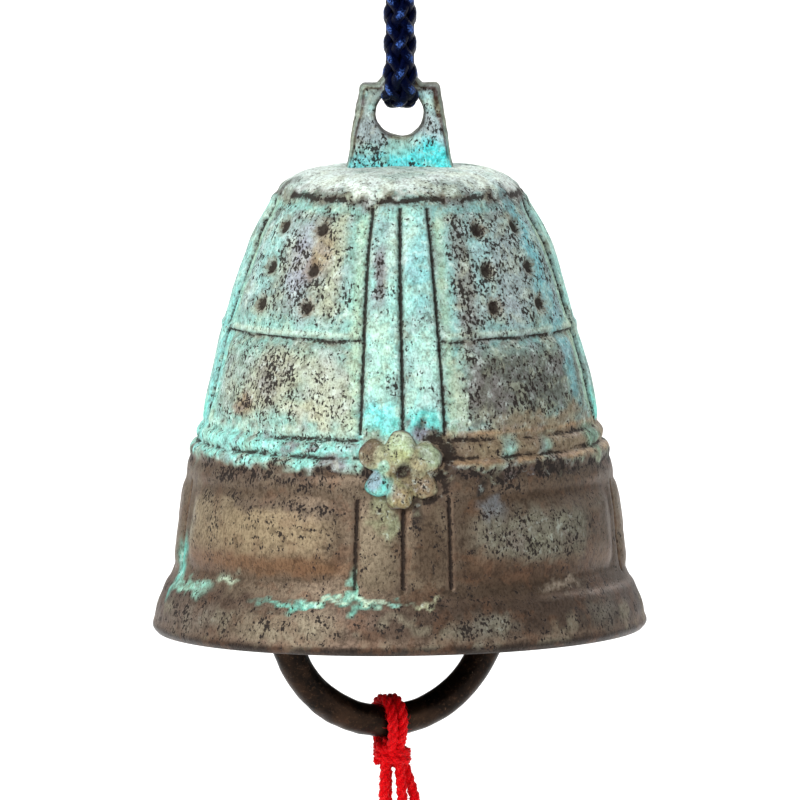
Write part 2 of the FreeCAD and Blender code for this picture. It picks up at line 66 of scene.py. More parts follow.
def ridge(value, centre, width):
    """1 at centre, falling off as a bell curve of that width."""
    return np.exp(-(((value - centre) / width) ** 2))


def rounded_box(across, up, half_width, half_height, corner):
    """Distance outside a rectangle with rounded corners; below zero inside it."""
    x = np.abs(across) - half_width + corner
    y = np.abs(up) - half_height + corner
    outside = np.hypot(np.maximum(x, 0), np.maximum(y, 0))
    return outside + np.minimum(np.maximum(x, y), 0) - corner


class Waves:
    """A smooth random field in space, as a sum of plane waves of about one wavelength."""

    def __init__(self, wavelength, count=14):
        heading = FIELD.normal(size=(count, 3))
        heading /= np.linalg.norm(heading, axis=1)[:, None]
        self.turns = heading * (2 * math.pi / wavelength) * FIELD.uniform(0.7, 1.4, (count, 1))
        self.starts = FIELD.uniform(0, 2 * math.pi, count)
        self.scale = math.sqrt(2 / count)

    def at(self, x, y, z):
        total = 0
        for turn, start in zip(self.turns, self.starts):
            total = total + np.sin(turn[0] * x + turn[1] * y + turn[2] * z + start)
        return total * self.scale


# ---------------------------------------------------------------- meshes


def new_object(name, vertices, faces, material):
    """A mesh object from points in millimetres above the lip."""
    mesh = bpy.data.meshes.new(name)
    mesh.from_pydata(row(vertices).tolist(), [], faces)
    mesh.update()
    mesh.shade_smooth()
    obj = bpy.data.objects.new(name, mesh)
    bpy.context.scene.collection.objects.link(obj)
    mesh.materials.append(material)
    return obj


def grid_faces(rows, columns, closed_rows=False, first=0):
    """Quads of a grid of points, wound so that the rows run up and the columns run round to the left and close."""
    faces = []
    for i in range(rows if closed_rows else rows - 1):
        here, above = first + i * columns, first + (i + 1) % rows * columns
        for j in range(columns):
            beside = (j + 1) % columns
            faces.append((here + j, here + beside, above + beside, above + j))
    return faces


def fan(tip, ring, outward):
    """Triangles from one point to a ring of points."""
    faces = []
    for j, here in enumerate(ring):
        beside = ring[(j + 1) % len(ring)]
        faces.append((tip, here, beside) if outward else (tip, beside, here))
    return faces


def fix_normals(obj):
    """Turn every face outward."""
    work = bmesh.new()
    work.from_mesh(obj.data)
    bmesh.ops.recalc_face_normals(work, faces=work.faces)
    work.to_mesh(obj.data)
    work.free()


class Strands:
    """A mesh made of many tubes, each one round or flattened, along its own line. A point's shade is how strongly a
    painted highlight lies there.
    """

    def __init__(self):
        self.vertices = []
        self.faces = []
        self.shades = []

    def skin(self, rings, ends, shades):
        """Close rings of points into a tube, between the points at its two ends."""
        count, sides = rings.shape[:2]
        first = len(self.vertices)
        last = first + count * sides
        self.vertices.extend([*rings.reshape(-1, 3).tolist(), *(end.tolist() for end in ends)])
        self.faces.extend(grid_faces(count, sides, first=first))
        self.faces.extend(fan(last, list(range(first, first + sides)), False))
        self.faces.extend(fan(last + 1, list(range(last - sides, last)), True))
        self.shades.extend(shades)

    def tube(self, points, radius, sides, shade=0.5, taper=0.0):
        """A round tube. radius is a number or one for each point, and taper is the share of it lost on the way."""
        points = np.asarray(points, float)
        radii = np.asarray(radius, float) * (1 - taper * np.linspace(0, 1, len(points)))
        tangents, side, other = frames(points)
        angles = np.linspace(0, 2 * math.pi, sides, endpoint=False)
        rings = (
            points[:, None, :]
            + side[:, None, :] * (np.cos(angles)[None, :, None] * radii[:, None, None])
            + other[:, None, :] * (np.sin(angles)[None, :, None] * radii[:, None, None])
        )
        ends = [points[0] - tangents[0] * radii[0] * 0.3, points[-1] + tangents[-1] * radii[-1] * 0.3]
        self.skin(rings, ends, [shade] * (len(points) * sides + 2))

    def flat_tube(self, points, outward, half_width, half_thickness, shade, sides=10):
        """A tube whose flat face looks outward. shade, a number or one for each point, is the strength of the painted
        highlight on its outer side.
        """
        tangents = unit(np.gradient(points, axis=0))
        out = unit(outward - tangents * np.sum(outward * tangents, axis=1)[:, None])
        across = np.cross(tangents, out)
        angles = np.linspace(0, 2 * math.pi, sides, endpoint=False)
        rings = (
            points[:, None, :]
            + across[:, None, :] * (np.cos(angles) * half_width)[None, :, None]
            + out[:, None, :] * (np.sin(angles) * half_thickness)[None, :, None]
        )
        crown = np.clip(np.sin(angles), 0, 1) ** 1.5
        shades = np.broadcast_to(np.asarray(shade, float), (len(points),))[:, None] * crown
        self.skin(rings, [points[0], points[-1]], [*shades.ravel().tolist(), 0.0, 0.0])

    def object(self, name, material):
        obj = new_object(name, self.vertices, self.faces, material)
        add_attribute(obj, "shade", self.shades)
        return obj


def add_attribute(obj, name, values):
    values = np.asarray(values, np.float32)
    kind, key = {1: ("FLOAT", "value"), 2: ("FLOAT_VECTOR", "vector")}[values.ndim]
    layer = obj.data.attributes.new(name, kind, "POINT")
    layer.data.foreach_set(key, values.ravel())


def add_colours(obj, name, values):
    values = np.asarray(values, np.float32)
    layer = obj.data.attributes.new(name, "FLOAT_COLOR", "POINT")
    layer.data.foreach_set("color", np.hstack([values, np.ones((len(values), 1))]).astype(np.float32).ravel())


def unit(vectors):
    return vectors / np.maximum(np.linalg.norm(vectors, axis=-1, keepdims=True), 1e-12)


def frames(points, wide=None):
    """Tangents and two crosswise directions along a line, turned as little as possible from point to point."""
    tangents = unit(np.gradient(points, axis=0))
    side = np.zeros_like(points)
    start = np.array(wide if wide is not None else (1.0, 0.13, 0.07), float)
    if abs(np.dot(unit(start), tangents[0])) > 0.95:
        start = np.array((0.1, 1.0, 0.2))
    last = start
    for i, tangent in enumerate(tangents):
        last = last - tangent * np.dot(last, tangent)
        last = last / np.linalg.norm(last)
        side[i] = last
    return tangents, side, np.cross(tangents, side)


def lengths_along(points):
    return np.concatenate([[0], np.cumsum(np.linalg.norm(np.diff(points, axis=0), axis=1))])


def evenly(points, step):
    """The same line with its points a step apart."""
    points = np.asarray(points, float)
    along = lengths_along(points)
    count = max(int(round(along[-1] / step)), 2) + 1
    wanted = np.linspace(0, along[-1], count)
    return np.stack([np.interp(wanted, along, points[:, k]) for k in range(3)], axis=1)


def spline(route, step=0.25):
    """Points of the route's NURBS spline, in the route's own units."""
    curve = bpy.data.curves.new("route", "CURVE")
    curve.dimensions = "3D"
    curve.resolution_u = 48
    line = curve.splines.new("NURBS")
    line.points.add(len(route) - 1)
    for point, spot in zip(line.points, route):
        point.co = (*spot, 1.0)
    line.order_u = 3
    line.use_endpoint_u = True
    holder = bpy.data.objects.new("route", curve)
    bpy.context.scene.collection.objects.link(holder)
    bpy.context.view_layer.update()
    mesh = bpy.data.meshes.new_from_object(holder.evaluated_get(bpy.context.evaluated_depsgraph_get()))
    points = np.array([vertex.co for vertex in mesh.vertices], float)
    bpy.data.objects.remove(holder)
    bpy.data.curves.remove(curve)
    bpy.data.meshes.remove(mesh)
    return evenly(points, step)


# ---------------------------------------------------------------- materials


def linear(red, green, blue):
    """A colour given as 0 to 255 display values, in the renderer's linear values."""
    channels = np.array([red, green, blue], float) / 255
    return np.where(channels <= 0.04045, channels / 12.92, ((channels + 0.055) / 1.055) ** 2.4)


class Value:
    """A node's output. Sums of outputs and numbers are written as sums, and each makes the node that works it out."""

    def __init__(self, nodes, socket):
        self.nodes = nodes
        self.socket = socket

    def __add__(self, other):
        return self.nodes.math("ADD", self, other)

    def __sub__(self, other):
        return self.nodes.math("SUBTRACT", self, other)

    def __rsub__(self, other):
        return self.nodes.math("SUBTRACT", other, self)

    def __mul__(self, other):
        return self.nodes.math("MULTIPLY", self, other)


class Nodes:
    """A material's node tree, with short ways to add the nodes used here. Its lengths are millimetres."""

    def __init__(self, name):
        self.material = bpy.data.materials.new(name)
        self.material.use_nodes = True
        self.tree = self.material.node_tree
        self.tree.nodes.clear()
        self.shader = self.tree.nodes.new("ShaderNodeBsdfPrincipled")
        shaded = Value(self, self.shader.outputs["BSDF"])
        self.add("ShaderNodeOutputMaterial", {"Surface": shaded}, None)
        place = self.add("ShaderNodeTexCoord", {}, "Object")
        self.place = self.add("ShaderNodeVectorMath", {0: place, "Scale": 1 / MM}, operation="SCALE")

    def add(self, kind, inputs, output=0, **settings):
        """Add a node, feed its inputs, and give one of its outputs."""
        node = self.tree.nodes.new(kind)
        for name, value in settings.items():
            setattr(node, name, value)
        for key, value in inputs.items():
            self.feed(node.inputs[key], value)
        return None if output is None else Value(self, node.outputs[output])

    def feed(self, socket, value):
        if isinstance(value, Value):
            self.tree.links.new(value.socket, socket)
        elif hasattr(value, "__len__"):
            opaque = [1.0] * (len(socket.default_value) - len(value))
            socket.default_value = [*map(float, value), *opaque]
        else:
            socket.default_value = value

    def math(self, operation, first, second):
        return self.add("ShaderNodeMath", {0: first, 1: second}, operation=operation)

    def either(self, first, second):
        return self.math("MAXIMUM", first, second)

    def rise(self, value, low, high, bottom=0.0, top=1.0):
        """A smooth rise from bottom to top while value goes from low to high."""
        inputs = {"Value": value, "From Min": low, "From Max": high, "To Min": bottom, "To Max": top}
        return self.add("ShaderNodeMapRange", inputs, interpolation_type="SMOOTHSTEP")

    def mix(self, factor, first, second, blend="MIX"):
        inputs = {0: factor, 6: first, 7: second}
        return self.add("ShaderNodeMix", inputs, 2, data_type="RGBA", blend_type=blend)

    def noise(self, scale, detail, roughness=0.5, distortion=0.0, where=None):
        """Noise with features about 1/scale millimetres across."""
        inputs = {"Vector": where or self.place, "Scale": scale, "Detail": detail}
        return self.add("ShaderNodeTexNoise", {**inputs, "Roughness": roughness, "Distortion": distortion}, "Fac")

    def cells(self, scale, where):
        return self.add("ShaderNodeTexVoronoi", {"Vector": where, "Scale": scale}, "Distance")

    def squashed(self, share):
        """Places whose heights count for less, so that what is drawn by them grows upright."""
        return self.add("ShaderNodeVectorMath", {0: self.place, 1: (1.0, 1.0, share)}, operation="MULTIPLY")

    def attribute(self, name, output="Fac"):
        return self.add("ShaderNodeAttribute", {}, output, attribute_name=name)

    def split(self, vector):
        parts = self.add("ShaderNodeSeparateXYZ", {0: vector}).socket.node.outputs
        return [Value(self, part) for part in parts]

    def bump(self, height, strength, distance):
        inputs = {"Height": height, "Strength": strength, "Distance": distance * MM}
        self.feed(self.shader.inputs["Normal"], self.add("ShaderNodeBump", inputs))

    def surface(self, **values):
        """Set the shader's inputs; underscores in a name stand for spaces."""
        for name, value in values.items():
            self.feed(self.shader.inputs[name.replace("_", " ")], value)
        return self.material


CRUST = linear(24, 17, 14)
# Dark crust in the grooves and pits, and painted shadow in the blossoms' crevices.
LINE_CRUST_AND_SHADOW = linear(30, 21, 16)


def patina(name):
    """Cast bronze under verdigris. The mesh carries the broad colours (tint), painted light and shade among them, and
    the distances from the grooves, pits and blossom crevices with how speckled it is (marks), and how bare the metal is
    (bare)."""
    nodes = Nodes(name)
    rise, mix, either = nodes.rise, nodes.mix, nodes.either
    colour = nodes.attribute("tint", "Color")
    groove, pit, speckle = nodes.split(nodes.attribute("marks", "Vector"))
    bare = nodes.attribute("bare")
    crusted = 1.0 - rise(bare, 0.15, 0.7)

    clouds = nodes.noise(0.36, 5.0, 0.6, 0.3)
    mottles = nodes.noise(0.95, 6.0, 0.66)
    grain = nodes.noise(3.4, 4.0, 0.7, 0.0, nodes.squashed(0.6))
    clusters = nodes.noise(0.55, 3.0, 0.6) - 0.5

    lilac, cream, rust, chalk = linear(176, 178, 190), linear(206, 212, 180), linear(104, 74, 54), linear(226, 246, 240)
    colour = mix(rise(clouds, 0.51, 0.62) * (crusted * 0.2), colour, lilac)
    colour = mix(rise(clouds, 0.49, 0.39) * (crusted * 0.24), colour, cream)
    colour = mix(rise(clouds, 0.50, 0.62) * (bare * 0.45), colour, rust)
    colour = mix(rise(mottles, 0.54, 0.66) * (crusted * 0.36), colour, chalk)
    for texture, low, high, dark in ((mottles, 0.34, 0.52, (188, 184, 180)), (grain, 0.36, 0.56, (190, 184, 180))):
        shade = mix(rise(texture, low, high), linear(*dark), linear(255, 255, 255))
        colour = mix(0.85, colour, shade, "MULTIPLY")

    crumbs = nodes.noise(3.1, 2.5, 0.58, 0.15, nodes.squashed(0.7))
    over = crumbs - (0.71 - speckle * 0.19 - clusters * 0.6)
    dots = nodes.cells(1.25, nodes.squashed(0.6)) + (grain - 0.5) * 0.3
    inside_dot = speckle * 0.36 - 0.06 + clusters * 0.7 - dots
    specks = either(rise(over, 0.0, 0.02), rise(inside_dot, -0.02, 0.02))
    halo = either(rise(over, -0.06, 0.005), rise(inside_dot, -0.12, 0.0))
    ragged = (nodes.noise(1.9, 4.0, 0.7) - 0.5) * 0.9
    rough_groove = groove + ragged
    rough_pit = pit + ragged * 1.1
    cut = either(rise(rough_groove, 0.34, 0.12), rise(rough_pit, 0.98, 0.6))
    colour = mix(rise(rough_groove, 1.0, 0.15) * 0.34, colour, linear(112, 92, 78))
    colour = mix(rise(rough_pit, 1.8, 0.6) * 0.62, colour, linear(134, 112, 88))
    colour = mix(halo * 0.30, colour, linear(96, 80, 70))
    colour = mix(specks * 0.92, colour, CRUST)
    # cut: dark crust in the grooves and pits, and painted shadow in the blossoms' crevices.
    colour = mix(cut * 0.93, colour, LINE_CRUST_AND_SHADOW)

    dark = either(specks * 0.8, cut)
    nodes.bump(mottles * 0.4 + grain * 0.42 - dark * 0.35, 0.75, 0.2)
    gloss = bare * (1.0 - dark * 0.7)
    return nodes.surface(
        Base_Color=colour,
        Metallic=gloss * 0.55,
        Roughness=rise(gloss + grain * 0.3, 0.0, 1.3, 0.85, 0.36),
        Specular_IOR_Level=0.25,
    )


def dark_bronze(name):
    """Nearly black worn bronze of the ring, browner where it is handled, with a few light scuffs."""
    nodes = Nodes(name)
    cloud = nodes.noise(0.22, 4.0, 0.6, 0.5)
    grain = nodes.noise(2.6, 4.0, 0.65)
    scuff = nodes.noise(0.9, 5.0, 0.75, 1.4)
    colour = nodes.mix(nodes.rise(cloud, 0.36, 0.66), linear(17, 12, 9), linear(50, 35, 25))
    colour = nodes.mix(nodes.rise(grain, 0.52, 0.72) * 0.4, colour, linear(92, 68, 50))
    colour = nodes.mix(nodes.rise(scuff, 0.64, 0.70) * 0.6, colour, linear(140, 118, 98))
    nodes.bump(grain + scuff * 0.3, 0.35, 0.1)
    return nodes.surface(Base_Color=colour, Metallic=0.92, Roughness=nodes.rise(grain, 0.3, 0.75, 0.34, 0.52))


def bronze_wire(name):
    """Drawn bronze wire, tarnished brown, with green dust in places."""
    nodes = Nodes(name)
    cloud = nodes.noise(0.8, 4.0, 0.6, 0.4)
    grain = nodes.noise(5.0, 3.0, 0.6)
    dust = nodes.noise(1.2, 5.0, 0.7)
    colour = nodes.mix(nodes.rise(cloud, 0.38, 0.64), linear(98, 72, 50), linear(140, 112, 80))
    colour = nodes.mix(nodes.rise(grain, 0.56, 0.74), colour, linear(64, 50, 40))
    colour = nodes.mix(nodes.rise(dust, 0.60, 0.70), colour, linear(118, 158, 142))
    nodes.bump(grain, 0.4, 0.08)
    return nodes.surface(Base_Color=colour, Metallic=0.75, Roughness=nodes.rise(cloud, 0.3, 0.7, 0.34, 0.58))


def filaments(name, base, light, crown, fineness, shine, roughness):
    """Yarn or braid of fine filaments: base and light tones of a filament, and the tone of the painted highlight on the
    strands' crowns.
    fineness is filaments for each millimetre, and shine the tint of the gloss."""
    nodes = Nodes(name)
    fibre = nodes.noise(fineness, 3.0, 0.6, 0.15)
    # worn: the painted highlight on each strand's crown, where the mesh's shade is high, broken up by the fibres.
    worn = nodes.rise(nodes.attribute("shade") + (fibre - 0.5) * 1.6, 0.5, 1.05)
    colour = nodes.mix(nodes.rise(fibre, 0.38, 0.62), linear(*base), linear(*light))
    colour = nodes.mix(worn * 0.68, colour, linear(*crown))
    nodes.bump(fibre, 0.8, 0.1)
    gloss = nodes.rise(fibre, 0.3, 0.7, roughness, roughness + 0.15)
    return nodes.surface(Base_Color=colour, Roughness=gloss, Specular_Tint=linear(*shine))


PATINA = patina("patinated_bronze")
DARK_BRONZE = dark_bronze("dark_bronze")
BRONZE_WIRE = bronze_wire("bronze_wire")
NAVY_CORD = filaments("navy_cord", (0, 0, 7), (1, 4, 24), (84, 124, 212), 5.0, (14, 40, 120), 0.38)
RED_YARN = filaments("red_yarn", (178, 1, 9), (244, 9, 20), (255, 54, 56), 6.5, (255, 90, 90), 0.6)


# ---------------------------------------------------------------- bell: outline

# Radius and height of the outline's corners, and how the stretch that starts at each one is curved: above zero
# it bulges outward, below zero inward.
OUTLINE = [
    ((29.7, 0.0), None),
    ((30.25, 0.6), 8.0),
    ((28.15, 6.6), -3.5),
    ((27.4, 8.8), 68.9),
    ((25.3, 21.4), 1.5),
    ((24.7, 23.5), 1.5),
    ((24.15, 25.4), 108.8),
    ((21.5, 37.1), 0.5),
    ((21.28, 37.9), 108.8),
    ((18.5, 46.3), 25.0),
    ((14.05, 54.2), 12.2),
    ((8.1, 56.4), None),
    ((0.0, 56.9), None),
]
INSIDE = [
    ((26.7, 0.0), None),
    ((24.4, 8.8), 65.9),
    ((21.15, 25.4), 105.8),
    ((15.5, 46.3), 22.0),
    ((8.1, 52.7), None),
    ((0.0, 53.2), None),
]
FINE = 0.05
SOFTENING = 0.22


def arc_points(start, end, radius, step=FINE):
    """Points from start to end, along an arc that bulges to the right of the way, or along a straight line."""
    start, end = np.array(start), np.array(end)
    chord = end - start
    length = np.linalg.norm(chord)
    count = max(int(length / step), 2)
    share = np.linspace(0, 1, count, endpoint=False)
    if radius is None:
        return start + chord * share[:, None]
    across = np.array([chord[1], -chord[0]]) / length * math.copysign(1, radius)
    half = length / 2
    reach = math.sqrt(radius * radius - half * half)
    centre = (start + end) / 2 - across * reach
    spread = math.asin(half / abs(radius))
    angles = (share * 2 - 1) * spread
    return (
        centre
        + across * (np.cos(angles) * abs(radius))[:, None]
        + (chord / length) * (np.sin(angles) * abs(radius))[:, None]
    )


def outline_points(corners, soften):
    """The outline as fine points, with its corners softened over a length in millimetres."""
    line = [arc_points(here, after, curve) for (here, curve), (after, _) in zip(corners, corners[1:])]
    points = np.vstack([*line, [corners[-1][0]]])
    reach = int(soften / FINE * 2)
    weights = np.exp(-((np.arange(-reach, reach + 1) * FINE / soften) ** 2))
    weights /= weights.sum()
    padded = np.vstack([np.repeat(points[:1], reach, 0), points, np.repeat(points[-1:], reach, 0)])
    return np.stack([np.convolve(padded[:, k], weights, "valid") for k in range(2)], axis=1)


# Heights between which the relief is fine and the rows lie close together.
FINE_HEIGHTS = [(-0.1, 1.4), (5.0, 9.0), (18.4, 26.8), (36.4, 38.6), (52.2, 54.6)]


def outside_rows():
    """Radius, height and both parts of the outward normal, at each of the mesh's rows."""
    points = outline_points(OUTLINE, SOFTENING)
    slope = np.gradient(points, axis=0)
    normals = unit(np.stack([slope[:, 1], -slope[:, 0]], axis=1))
    fine = sum(((points[:, 1] > low) & (points[:, 1] < high)).astype(float) for low, high in FINE_HEIGHTS)
    spacing = np.where(fine > 0, 0.27, 0.6)
    step = np.linalg.norm(np.diff(points, axis=0), axis=1)
    along = np.concatenate([[0], np.cumsum(step / spacing[:-1])])
    wanted = np.linspace(0, along[-1], int(along[-1]))[:-1]
    return [np.interp(wanted, along, values) for values in (*points.T, *normals.T)]


# The lip lies a little lower on the left than on the right: the height gained for each millimetre across.
LIP_TILT = 0.0103
BAND_EDGE = 12.3
QUARTER = 90.0


def column_angles():
    """Angles of the mesh's columns in degrees: close together at the bands' three grooves."""
    angles = []
    for axis in range(4):
        here = -45.0
        while here < 45.0 - 1e-6:
            angles.append(axis * QUARTER + here)
            gap = min(abs(abs(here) - BAND_EDGE), abs(here))
            here += 0.22 if gap < 1.3 else (0.66 if abs(here) < BAND_EDGE else 1.0)
    return np.array(angles)


def lean(height):
    """How far the cast bands stray round the bell on their way down, in degrees."""
    return 0.8 * smooth(50.0, 28.0, height)


# ---------------------------------------------------------------- bell: relief and colours

BROAD = Waves(17.0)
MIDDLE = Waves(6.5)
SMALL = Waves(2.6)
TINY = Waves(1.3)
# Middle height, half height and corner of the strips below and above the belt.
LOWER_STRIPS = (13.2, 5.7, 2.3)
UPPER_STRIPS = (39.5, 13.6, 0.7)
# Lowest and highest point, how proud, how broad its shoulder and how round its corners, for each panel.
PANEL_LEVELS = [(9.2, 18.2, 0.62, 2.9, 2.4), (27.0, 36.6, 0.34, 1.5, 1.6), (38.4, 52.4, 0.18, 1.3, 1.4)]
PANEL_EDGE = 17.6
PIT_HEIGHTS = [50.2, 45.4, 41.0]
PIT_ANGLE = 34.0
# What is added to the distance from a line, in millimetres, where that line is left out.
OUT_OF_REACH = 6
# Grooves (above zero) and swellings (below zero) that run right round: depth, height and width.
ROUNDS = [
    (0.15, 23.45, 0.3),
    (-0.1, 22.5, 0.6),
    (-0.08, 24.5, 0.6),
    (0.07, 6.4, 0.5),
    (-0.1, 7.5, 1.2),
    (-0.3, 20.4, 1.6),
    (-0.12, 27.4, 1.4),
    (-0.5, 53.4, 1.0),
    (-0.6, 55.3, 1.2),
]


class Surface:
    """Where each point of the bell's outside lies: turn about the upright (0 at the front, degrees, + to the
    right), height, and how far it is from the bands, panels and pits, in millimetres."""

    def __init__(self, radius, height, angles):
        self.height = height[:, None] + 0 * angles[None, :]
        self.radius = radius[:, None] + 0 * angles[None, :]
        self.turn = (angles[None, :] + 0 * self.height + 180) % 360 - 180
        self.fold = np.abs((self.turn + 45) % QUARTER - 45)
        self.per_degree = np.radians(1) * self.radius
        self.half_strip = BAND_EDGE / 2 * self.per_degree
        self.from_middle = self.fold * self.per_degree
        self.from_edge = (self.fold - BAND_EDGE) * self.per_degree
        self.x = self.radius * np.sin(np.radians(self.turn))
        self.y = -self.radius * np.cos(np.radians(self.turn))
        self.broad = BROAD.at(self.x, self.y, self.height)
        self.middle = MIDDLE.at(self.x, self.y, self.height)
        self.small = SMALL.at(self.x, self.y, self.height)
        self.tiny = TINY.at(self.x, self.y, self.height)
        self.strips()
        self.panels()
        self.pit_distance()

    def strips(self):
        """Distance outside each level's strips."""
        across = self.from_middle - self.half_strip
        self.lower_strip, self.upper_strip = [
            rounded_box(across, self.height - middle, self.half_strip - 0.12, tall, corner)
            for middle, tall, corner in (LOWER_STRIPS, UPPER_STRIPS)
        ]

    def panels(self):
        middle = (45 - self.fold) * self.per_degree
        half = (45 - PANEL_EDGE) * self.per_degree
        self.panel = [
            rounded_box(middle, self.height - (low + high) / 2, half, (high - low) / 2, corner)
            for low, high, _, _, corner in PANEL_LEVELS
        ]

    def pit_distance(self):
        across = (self.fold - PIT_ANGLE) * self.per_degree
        self.pit = np.min([np.hypot(across, self.height - height) for height in PIT_HEIGHTS], axis=0)

    def beside_strips(self, spare):
        """1 at the heights of either level's strips, less a spare length, and 0 between them."""
        inside = 0
        for middle, tall, _ in (LOWER_STRIPS, UPPER_STRIPS):
            inside = inside + smooth(tall + 0.5 - spare, tall - 0.3 - spare, np.abs(self.height - middle))
        return inside

    def crevice(self):
        """Like a line's distance, low in the gap along the right side of each blossom, where a shadow is painted."""
        across = np.where(np.abs(self.turn) < 90, self.x, -self.x)
        up = self.height - BLOSSOM_HEIGHT
        around = np.linspace(-math.pi, math.pi, 240, endpoint=False)
        outline = blossom_outline(around, 0.0)
        gap = np.hypot(across, up) - np.interp(np.arctan2(up, across), around, outline, period=2 * math.pi)
        ragged = 0.07 * self.small + 0.3 * smooth(0.1, 1.0, self.middle)
        elsewhere = smooth(2.4, 1.2, across) + smooth(3.0, 4.0, gap)
        return np.abs(gap - 0.45) * 0.4 + ragged + OUT_OF_REACH * elsewhere

    def groove_lines(self):
        """Distance to the nearest engraved line, or to the painted shadow beside a blossom, and large where there is
        none.
        """
        height = self.height
        outside_band = smooth(-0.1, 0.3, self.from_edge)
        wander = self.small * 0.04 + self.middle * 0.08
        upright = np.minimum(np.abs(self.from_edge), self.from_middle) * 1.15
        upright = upright + OUT_OF_REACH * (1 - self.beside_strips(0.0))

        def level(at, weight=1.0, lift=0.0, gaps=None, bands=True):
            line = np.abs(height - at + wander) * weight + lift
            if gaps is not None:
                line = line + 0.5 * smooth(0.2, 1.3, gaps)
            return line if bands else line + OUT_OF_REACH * (1 - outside_band)

        step = level(37.3, 1.2, 0.0, self.small - 1.0, False)
        crown = level(53.55, 0.75, 0.0, self.small + self.middle)
        ledge = level(25.5, 0.9, 0.06, self.middle, False)
        waist = level(23.45, 0.9, 0.06, self.small - self.middle * 0.5)
        foot = level(6.4, 1.0, 0.42, self.middle)
        return np.min([upright, step, crown, ledge, waist, foot, self.crevice()], axis=0)

    def relief(self):
        """How far the surface stands out of the outline."""
        height = self.height
        bulge = 1 - ((self.from_middle - self.half_strip) / self.half_strip) ** 2
        raised = 0.25 * smooth(0.1, -0.45, self.upper_strip) + 0.1 * smooth(0.0, -1.5, self.upper_strip) * bulge
        raised = raised * (0.3 + 0.7 * smooth(25.5, 31.0, height))
        raised = raised + 0.24 * smooth(0.1, -1.5, self.lower_strip)
        raised = raised + 0.14 * smooth(0.0, -2.4, self.lower_strip) * bulge
        for distance, (_, _, proud, shoulder, _) in zip(self.panel, PANEL_LEVELS):
            raised = raised + proud * smooth(0.4, -shoulder, distance) - 0.16 * ridge(distance, 0.7, 0.6)
        outside_band = smooth(-0.2, 0.5, self.from_edge)
        cut = 0.36 * (ridge(self.from_edge, 0, 0.26) + ridge(self.from_middle, 0, 0.26)) * self.beside_strips(0.2)
        cut = cut + outside_band * (0.28 * ridge(height, 37.2, 0.34) - 0.15 * ridge(height, 38.0, 0.45))
        cut = cut + outside_band * (0.17 * ridge(height, 25.6, 0.3) - 0.1 * ridge(height, 26.3, 0.45))
        cut = cut + 0.22 * ridge(height, 53.5, 0.42) * smooth(-1.8, 0.2, self.middle + 0.5 * self.small)
        cut = cut + 0.3 * smooth(0.6, 2.0, height) * smooth(6.4, 4.6, height)
        cut = cut + sum(depth * ridge(height, at, wide) for depth, at, wide in ROUNDS)
        pits = 0.6 * smooth(1.35, 0.3, self.pit) - 0.06 * ridge(self.pit, 1.6, 0.4)
        cast = 0.07 * self.broad + 0.025 * self.middle + 0.012 * self.small + 0.005 * self.tiny
        return raised - cut - pits + cast * smooth(0.0, 2.0, height)


def warped(surface):
    """The surface's turn and height, shifted a little at random, so that what is painted by them has ragged edges."""
    turn = surface.turn + (surface.middle * 0.5 + surface.small * 0.45 + surface.tiny * 0.4)
    drift = MIDDLE.at(surface.y, surface.height, surface.x)
    return turn, surface.height + 0.22 * surface.small + 0.2 * surface.tiny + 0.22 * drift


class Tint:
    """Colours laid one over another, each through a mask."""

    def __init__(self, shape, ground):
        self.colour = np.zeros((*shape, 3)) + linear(*ground)

    def lay(self, mask, colour):
        mask = np.clip(mask, 0, 1)
        self.colour += (linear(*colour) - self.colour) * mask[..., None]
        return mask


class Paint(Tint):
    """Colours laid on the bell, with how speckled and how bare of patina it is there."""

    def __init__(self, surface):
        super().__init__(surface.height.shape, (150, 178, 164))
        self.turn, self.height = warped(surface)
        self.speckle = np.full(surface.height.shape, 0.25)
        self.bare = np.zeros(surface.height.shape)

    def lay(self, mask, colour, speckle=None, bare=None):
        mask = super().lay(mask, colour)
        if speckle is not None:
            self.speckle += (speckle - self.speckle) * mask
        if bare is not None:
            self.bare += (bare - self.bare) * mask

    def between(self, low, high, soft=0.6):
        return smooth(low - soft, low + soft, self.height) * smooth(high + soft, high - soft, self.height)

    def blob(self, turn, height, wide, tall, edge=0.5):
        """An oval patch centred at a turn and height, wide in degrees and tall in millimetres, ragged at its edge."""
        away = (self.turn - turn + 180) % 360 - 180
        distance = np.hypot(away / (wide / 2), (self.height - height) / (tall / 2))
        return smooth(1 + edge, 1 - edge, distance)


FAR = 9.0


def unmarked(speckle):
    """Marks of points that lie far from every groove and pit."""
    far = np.full(len(speckle), FAR)
    return np.stack([far, far, speckle], axis=1)


def dress(obj, colours, marks, bare):
    """Give a casting what the patina reads from it."""
    add_colours(obj, "tint", colours)
    add_attribute(obj, "marks", marks)
    add_attribute(obj, "bare", bare)


def paint_bell(surface):
    """Verdigris above, brown bronze below, with the crown pale."""
    paint = Paint(surface)
    # left: the bell's left half, on which the light falls; the paint uses it and its complement for painted light and
    # shade as well as for patina that differs between the sides.
    left = smooth(25, -25, surface.turn) * smooth(-185, -150, surface.turn)
    paint_upper(paint, surface, left)
    paint_lower(paint, surface, left)
    paint_belt(paint, surface, left)
    paint_bands(paint, surface)
    paint_crown(paint, surface)
    paint_front_marks(paint)
    return paint


